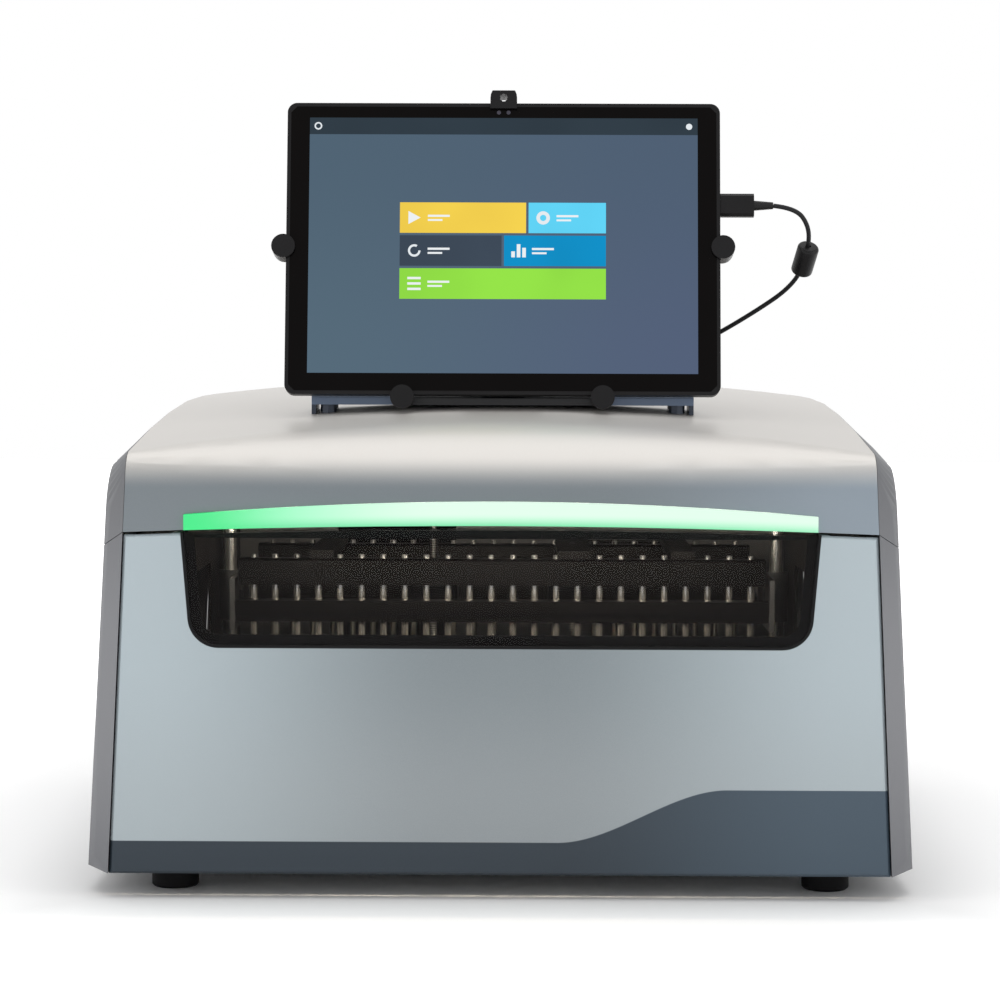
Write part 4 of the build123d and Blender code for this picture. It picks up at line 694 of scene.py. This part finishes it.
tile_width = TILE_RIGHT - TILE_LEFT - TILE_GAP
sky_left = TILE_LEFT + tile_width * YELLOW_SHARE + TILE_GAP
blue_left = TILE_LEFT + tile_width * SLATE_SHARE + TILE_GAP
row_tops = [TILE_TOP - row * (TILE_TALL + TILE_GAP) for row in range(3)]
for name, row, left, right, colour in (
        ("tile_yellow", 0, TILE_LEFT, sky_left - TILE_GAP, srgb(252, 214, 78)),
        ("tile_sky", 0, sky_left, TILE_RIGHT, srgb(96, 214, 250)),
        ("tile_slate", 1, TILE_LEFT, blue_left - TILE_GAP, srgb(60, 73, 88)),
        ("tile_blue", 1, blue_left, TILE_RIGHT, srgb(0, 145, 202)),
        ("tile_green", 2, TILE_LEFT, TILE_RIGHT, srgb(150, 230, 70))):
    button = slab(left, right, row_tops[row] - TILE_TALL, row_tops[row], TILE_LAYER)
    picture(name, [button], colour)

# White signs on the buttons: a wedge, a ring, an open ring, three upright columns and three lines.
# Two pale strips stand beside each. Sizes are in millimetres from the middle of a sign.
SIGN_IN = 12.0              # middle of a sign inside its button's left side
WEDGE_REACH = 5.0
WEDGE_TALL = 1.1
CHART_LEFT = -6.0
CHART_LOW = -5.5
CHART_STEP = 4.5
CHART_WIDE = 3.0
CHART_TALLS = (5.0, 11.0, 8.0)
LINE_HALF = 5.5
LINE_HEIGHTS = (-4.5, 0.0, 4.5)
LINE_THICK = 2.0
STRIP_IN = 23.0             # left end of a strip inside its button's left side
STRIPS = ((18.0, 0.6, 2.4), (12.0, -2.8, -1.2))     # length, lower and upper edge

first, second, third = (top - TILE_TALL / 2 for top in row_tops)
sign_left = TILE_LEFT + SIGN_IN


def wedge(right, up, reach, layer):
    """Flat triangle that points right, as a patch whose height shrinks to nothing at its tip."""
    side, rise = np.meshgrid((0.0, 1.0), (-1.0, 1.0))
    return on_glass(right + reach * (2 * side - 1), up + reach * rise * (1 - side) * WEDGE_TALL, layer)


signs = [wedge(sign_left, first, WEDGE_REACH, SIGN_LAYER)]
for place, tall in enumerate(CHART_TALLS):
    foot_left = blue_left + SIGN_IN + CHART_LEFT + CHART_STEP * place
    signs += [slab(foot_left, foot_left + CHART_WIDE, second + CHART_LOW, second + CHART_LOW + tall,
                   SIGN_LAYER)]
for middle in LINE_HEIGHTS:
    signs += [slab(sign_left - LINE_HALF, sign_left + LINE_HALF, third + middle - LINE_THICK / 2,
                   third + middle + LINE_THICK / 2, SIGN_LAYER)]
for left, middle in ((TILE_LEFT, first), (sky_left, first), (TILE_LEFT, second), (blue_left, second),
                     (TILE_LEFT, third)):
    for length, low, high in STRIPS:
        strip_left = left + STRIP_IN
        signs += [slab(strip_left, strip_left + length, middle + low, middle + high, SIGN_LAYER)]
picture("screen_signs", signs, srgb(244, 248, 250), tone=0.0)

TITLE_IN = 7.0              # middle of a title bar's sign inside the screen's side
title_middle = SCREEN_HIGH - TITLE / 2
rings = [ring(sky_left + SIGN_IN, first, 2.6, 5.6, SIGN_LAYER),
         ring(sign_left, second, 3.4, 5.2, SIGN_LAYER, 60, 360),
         ring(-SCREEN_HALF + TITLE_IN, title_middle, 2.0, 3.2, SIGN_LAYER),
         ring(SCREEN_HALF - TITLE_IN, title_middle, 0.0, 2.6, SIGN_LAYER)]
picture("screen_rings", rings, srgb(236, 242, 246), tone=0.0)

# Two small lenses stand in the glass's upper border, between the picture and the glass's edge.
CAMERA_EYES = (-4.0, 4.0)
EYE_RADIUS = 1.7

glass_height = ((glass_points @ glass_up).max() - glass_foot) * 1000
eye_up = (SCREEN_HIGH + glass_height) / 2
eye_glass = Finish("camera_eye", Roughness=0.05)
eye_glass.set(Base_Color=eye_glass.mix(eye_glass.noise(600), srgb(36, 34, 50), srgb(70, 66, 84)))
eye_patches = [ring(x, eye_up, 0.0, EYE_RADIUS, DESK_LAYER) for x in CAMERA_EYES]
eyes = surface_piece("camera_eyes", np.array(eye_patches), eye_glass, closed=False)
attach(eyes, "tablet")

# ------------------------------------------------------------------ tablet stand
# Painted steel cross-bar on a pair of posts at each end. The bar is slate blue, and between the
# bottom claws it carries a painted shadow of the tablet, nearly black; the posts are nearly black.
CLAW_SIDE = 0.088           # from the middle to where the painted shadow ends and the bar turns slate blue
BAR_FOOT = 0.385            # height of the bar's lower side
PAINT_FADE = 0.001

stand = Finish("stand_paint", Metallic=0.25)
stand_grain = stand.noise(1200, 2)
# Painted shadow: between the bottom claws, under the tablet, the bar is painted nearly black.
beyond_painted_shadow = abs(stand.place(0)).between(CLAW_SIDE - PAINT_FADE, CLAW_SIDE + PAINT_FADE)
bar_paint_and_shadow = stand.mix(beyond_painted_shadow, srgb(20, 21, 25), srgb(96, 112, 136))
post_paint = stand.mix(stand_grain, srgb(34, 42, 56), srgb(48, 58, 74))
on_bar = stand.place(2).between(BAR_FOOT - PAINT_FADE / 2, BAR_FOOT + PAINT_FADE / 2)
stand.set(Base_Color=stand.mix(on_bar, post_paint, bar_paint_and_shadow), Roughness=0.3 + 0.16 * stand_grain)
smooth_node("holder_stand", stand)

# ------------------------------------------------------------------ rear fan, mains socket and rocker
# Glass-filled black nylon mouldings behind and in the rear panel: the fan's frame and rotor, the
# mains socket, and the switch with its frame.
nylon = Finish("black_nylon", Specular_IOR_Level=0.25)
nylon_grain = nylon.noise(1000, 4)
nylon.set(Base_Color=nylon.mix(nylon_grain, srgb(13, 13, 14), srgb(30, 30, 31)),
          Roughness=0.4 + 0.2 * nylon_grain)
nylon.bump(nylon_grain, 0.00015, 0.4)
for name in ("fan_frame", "fan_rotor", "power_inlet", "rocker_frame", "power_rocker"):
    smooth_node(name, nylon)

# ------------------------------------------------------------------ fan guard
# Plated wire hoops round the fan's middle, with four spokes welded across their outer side. The
# hoops lie on the back of the rear panel.
WIRE = 0.0011               # radius of the wire
GUARD_REACH = 0.94          # of the fan frame's half width
GUARD_HUB = 0.24            # first hoop's share of that reach
GUARD_RINGS = 5
GUARD_SPOKES = 4
SPOKE_SHARE = 0.86          # spoke's length as a share of the reach
SPOKE_OUT = 1.6             # spoke's middle behind the hoops' middle, in wire radii
SPOKE_SIDES = 10

chrome = Finish("plated_wire", Metallic=1.0)
plate_cloud = chrome.noise(200, 3)
chrome.set(Base_Color=chrome.mix(plate_cloud, srgb(190, 192, 194), srgb(222, 222, 221)),
           Roughness=0.16 + 0.14 * plate_cloud)
fan_low, fan_high = (np.array(corner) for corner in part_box("fan_frame"))
panel_low, panel_high = (np.array(corner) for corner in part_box("rear_panel"))
fan_middle = (fan_low + fan_high) / 2
fan_middle[1] = panel_high[1] + WIRE
fan_reach = (fan_high[0] - fan_low[0]) / 2 * GUARD_REACH

# Hoop: a circle of wire is carried round a larger circle that lies flat on the panel.
around = np.linspace(0, 2 * np.pi, 49)[None, :, None, None]
section = np.linspace(0, 2 * np.pi, 9)[None, None, :-1, None]
hoops = (np.linspace(GUARD_HUB, 1.0, GUARD_RINGS) * fan_reach)[:, None, None, None]
outwards = np.concatenate([np.cos(around), 0 * around, np.sin(around)], axis=-1)
hoop_points = (fan_middle + (hoops + WIRE * np.cos(section)) * outwards
               + WIRE * np.sin(section) * np.array([0.0, 1.0, 0.0]))
guard = surface_piece("fan_guard", hoop_points, chrome, wrap=True, sharp=80)
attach(guard, "root")

spoke_length = fan_reach * SPOKE_SHARE
spoke_profile = [(0, 0), (WIRE, 0), (WIRE, spoke_length), (0, spoke_length)]
for number in range(GUARD_SPOKES):
    angle = math.radians(45 + 90 * number)
    way = np.array([math.cos(angle), 0.0, math.sin(angle)])
    start = fan_middle + way * fan_reach * GUARD_HUB + np.array([0.0, SPOKE_OUT * WIRE, 0.0])
    spoke = surface_piece(f"fan_guard_spoke_{number + 1}",
                          turned([start], spoke_profile, SPOKE_SIDES, way), chrome,
                          wrap=True, sharp=80)
    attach(spoke, "root")

# ------------------------------------------------------------------ vent filter
# Black open-cell foam pad that hangs behind the rear panel's louvres, just clear of the sheet, and
# keeps dust and light out.
FILTER_X = np.array([-0.168, -0.050])
FILTER_Z = np.array([0.133, 0.266])
FILTER_THICK = 0.003
FILTER_CLEAR = 0.0002

foam = Finish("filter_foam", Roughness=0.9, Specular_IOR_Level=0.1)
foam_cell = foam.node("ShaderNodeTexVoronoi", {}, {"Vector": foam.place(), "Scale": 700}, "Distance")
foam.set(Base_Color=foam.mix(foam_cell.between(0.1, 0.6), srgb(8, 8, 9), srgb(34, 34, 36)))
foam.bump(foam_cell, 0.0006, 0.8)

# Box as four rows of points: the inner face's middle, its corners, the outer face's corners and
# its middle.
from_middle = np.array([0.0, 1.0, 1.0, 0.0])[:, None]
inwards = np.array([1.0, 1.0, 0.0, 0.0])[:, None]
pad_x = FILTER_X.mean() + from_middle * (FILTER_X[[0, 1, 1, 0]] - FILTER_X.mean())
pad_z = FILTER_Z.mean() + from_middle * (FILTER_Z[[0, 0, 1, 1]] - FILTER_Z.mean())
pad_y = panel_low[1] - FILTER_CLEAR - FILTER_THICK * inwards + 0 * pad_x
vent_filter = surface_piece("vent_filter", np.stack([pad_x, pad_y, pad_z], axis=-1)[None], foam,
                            wrap=True)
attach(vent_filter, "root")

# ------------------------------------------------------------------ rear panel screws
# Five pan-head steel screws with a recess along the rear panel's upper edge and five along its
# lower edge.
PANEL_SCREW = [(0, 0.0007), (0.0012, 0.0007), (0.0012, 0.0018), (0.0027, 0.0016), (0.0034, 0.0009),
               (0.0034, 0.0), (0, 0.0)]
PANEL_SCREW_SIDES = 18
PANEL_SCREW_IN = 0.024      # from the panel's sides and top; half of it from the bottom
PANEL_SCREWS = 5

screw_x = np.linspace(panel_low[0] + PANEL_SCREW_IN, panel_high[0] - PANEL_SCREW_IN, PANEL_SCREWS)
screw_z = (panel_low[2] + PANEL_SCREW_IN / 2, panel_high[2] - PANEL_SCREW_IN)
panel_places = [(x, panel_high[1], z) for x in screw_x for z in screw_z]
panel_forms = turned(panel_places, PANEL_SCREW, PANEL_SCREW_SIDES, (0, 1, 0))
screws = surface_piece("panel_screws", panel_forms, steel, wrap=True)
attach(screws, "root")

# ------------------------------------------------------------------ studio
# Pale floor and a white room. Camera and mirror rays see the room and the floor's far part as plain
# white, and the floor near the machine keeps its shadow.
FLOOR_HALF = 8.0
FOOTPRINT = (0.29, 0.29)    # half width and half depth of the floor that isn't lifted at all
FLOOR_LIFT = 0.22           # of the shadowed floor beside the machine
ROOM_LIGHT = 0.55


def seen(job):
    """1 on camera, mirror and see-through rays, 0 on the rays that carry light."""
    camera_ray, glossy_ray, through_ray = (
        job.node("ShaderNodeLightPath", {}, {}, f"Is {kind} Ray")
        for kind in ("Camera", "Glossy", "Transmission"))
    return job.node("ShaderNodeClamp", {}, {0: camera_ray + glossy_ray + through_ray})


floor_mesh = bpy.data.meshes.new("studio_floor")
floor_corners = [(x * FLOOR_HALF, y * FLOOR_HALF, 0) for x, y in ((-1, -1), (1, -1), (1, 1), (-1, 1))]
floor_mesh.from_pydata(floor_corners, [], [(0, 1, 2, 3)])
floor = bpy.data.objects.new("studio_floor", floor_mesh)
bpy.context.scene.collection.objects.link(floor)
floor_paint = Finish("studio_floor", Base_Color=(0.94, 0.94, 0.94, 1), Roughness=0.6,
                     Emission_Strength=1.0)
floor_mesh.materials.append(floor_paint.material)
beside_x = abs(floor_paint.place(0)) - FOOTPRINT[0]
beside_y = abs(floor_paint.place(1)) - FOOTPRINT[1]
beside = beside_x.highest(beside_y)
lift = beside.between(0.0, 0.14) * FLOOR_LIFT + beside.between(0.1, 0.9) * (1 - FLOOR_LIFT)
floor_glow = seen(floor_paint) * lift
floor_paint.set(Emission_Color=floor_paint.node("ShaderNodeCombineXYZ", {},
                                                {0: floor_glow, 1: floor_glow, 2: floor_glow}))

world = bpy.data.worlds.new("studio")
world.use_nodes = True
room = Nodes(world.node_tree)
background = world.node_tree.nodes["Background"]
room.feed(background.inputs["Color"], (1, 1, 1, 1))
room.feed(background.inputs["Strength"], ROOM_LIGHT + (1 - ROOM_LIGHT) * seen(room))
bpy.context.scene.world = world


def soft_lamp(name, place, aim, size, watts, colour=(1.0, 1.0, 1.0)):
    """Area lamp of two side lengths that looks at a point."""
    data = bpy.data.lights.new(name, "AREA")
    data.shape = "RECTANGLE"
    data.size, data.size_y = size
    data.energy = watts
    data.color = colour
    lamp = bpy.data.objects.new(name, data)
    lamp.location = place
    lamp.rotation_euler = (Vector(aim) - Vector(place)).to_track_quat("-Z", "Y").to_euler()
    bpy.context.scene.collection.objects.link(lamp)


# The warm strip hangs under the hood behind the top of the window, and shines back and down.
soft_lamp("cabin_strip", (0, -0.285, 0.296), (0, 0.3307, -0.4920), (0.42, 0.012), 0.85,
          (1.0, 0.86, 0.68))
soft_lamp("overhead", (0, -0.4, 2.6), (0, 0, 0.3), (2.4, 2.4), 22.5)
soft_lamp("left_side", (-2.2, -1.2, 1.2), (0, 0, 0.25), (1.4, 1.4), 12)
soft_lamp("band_reflection_to_right", (2.2, -1.2, 1.2), (0, 0, 0.25), (1.4, 1.4), 12)
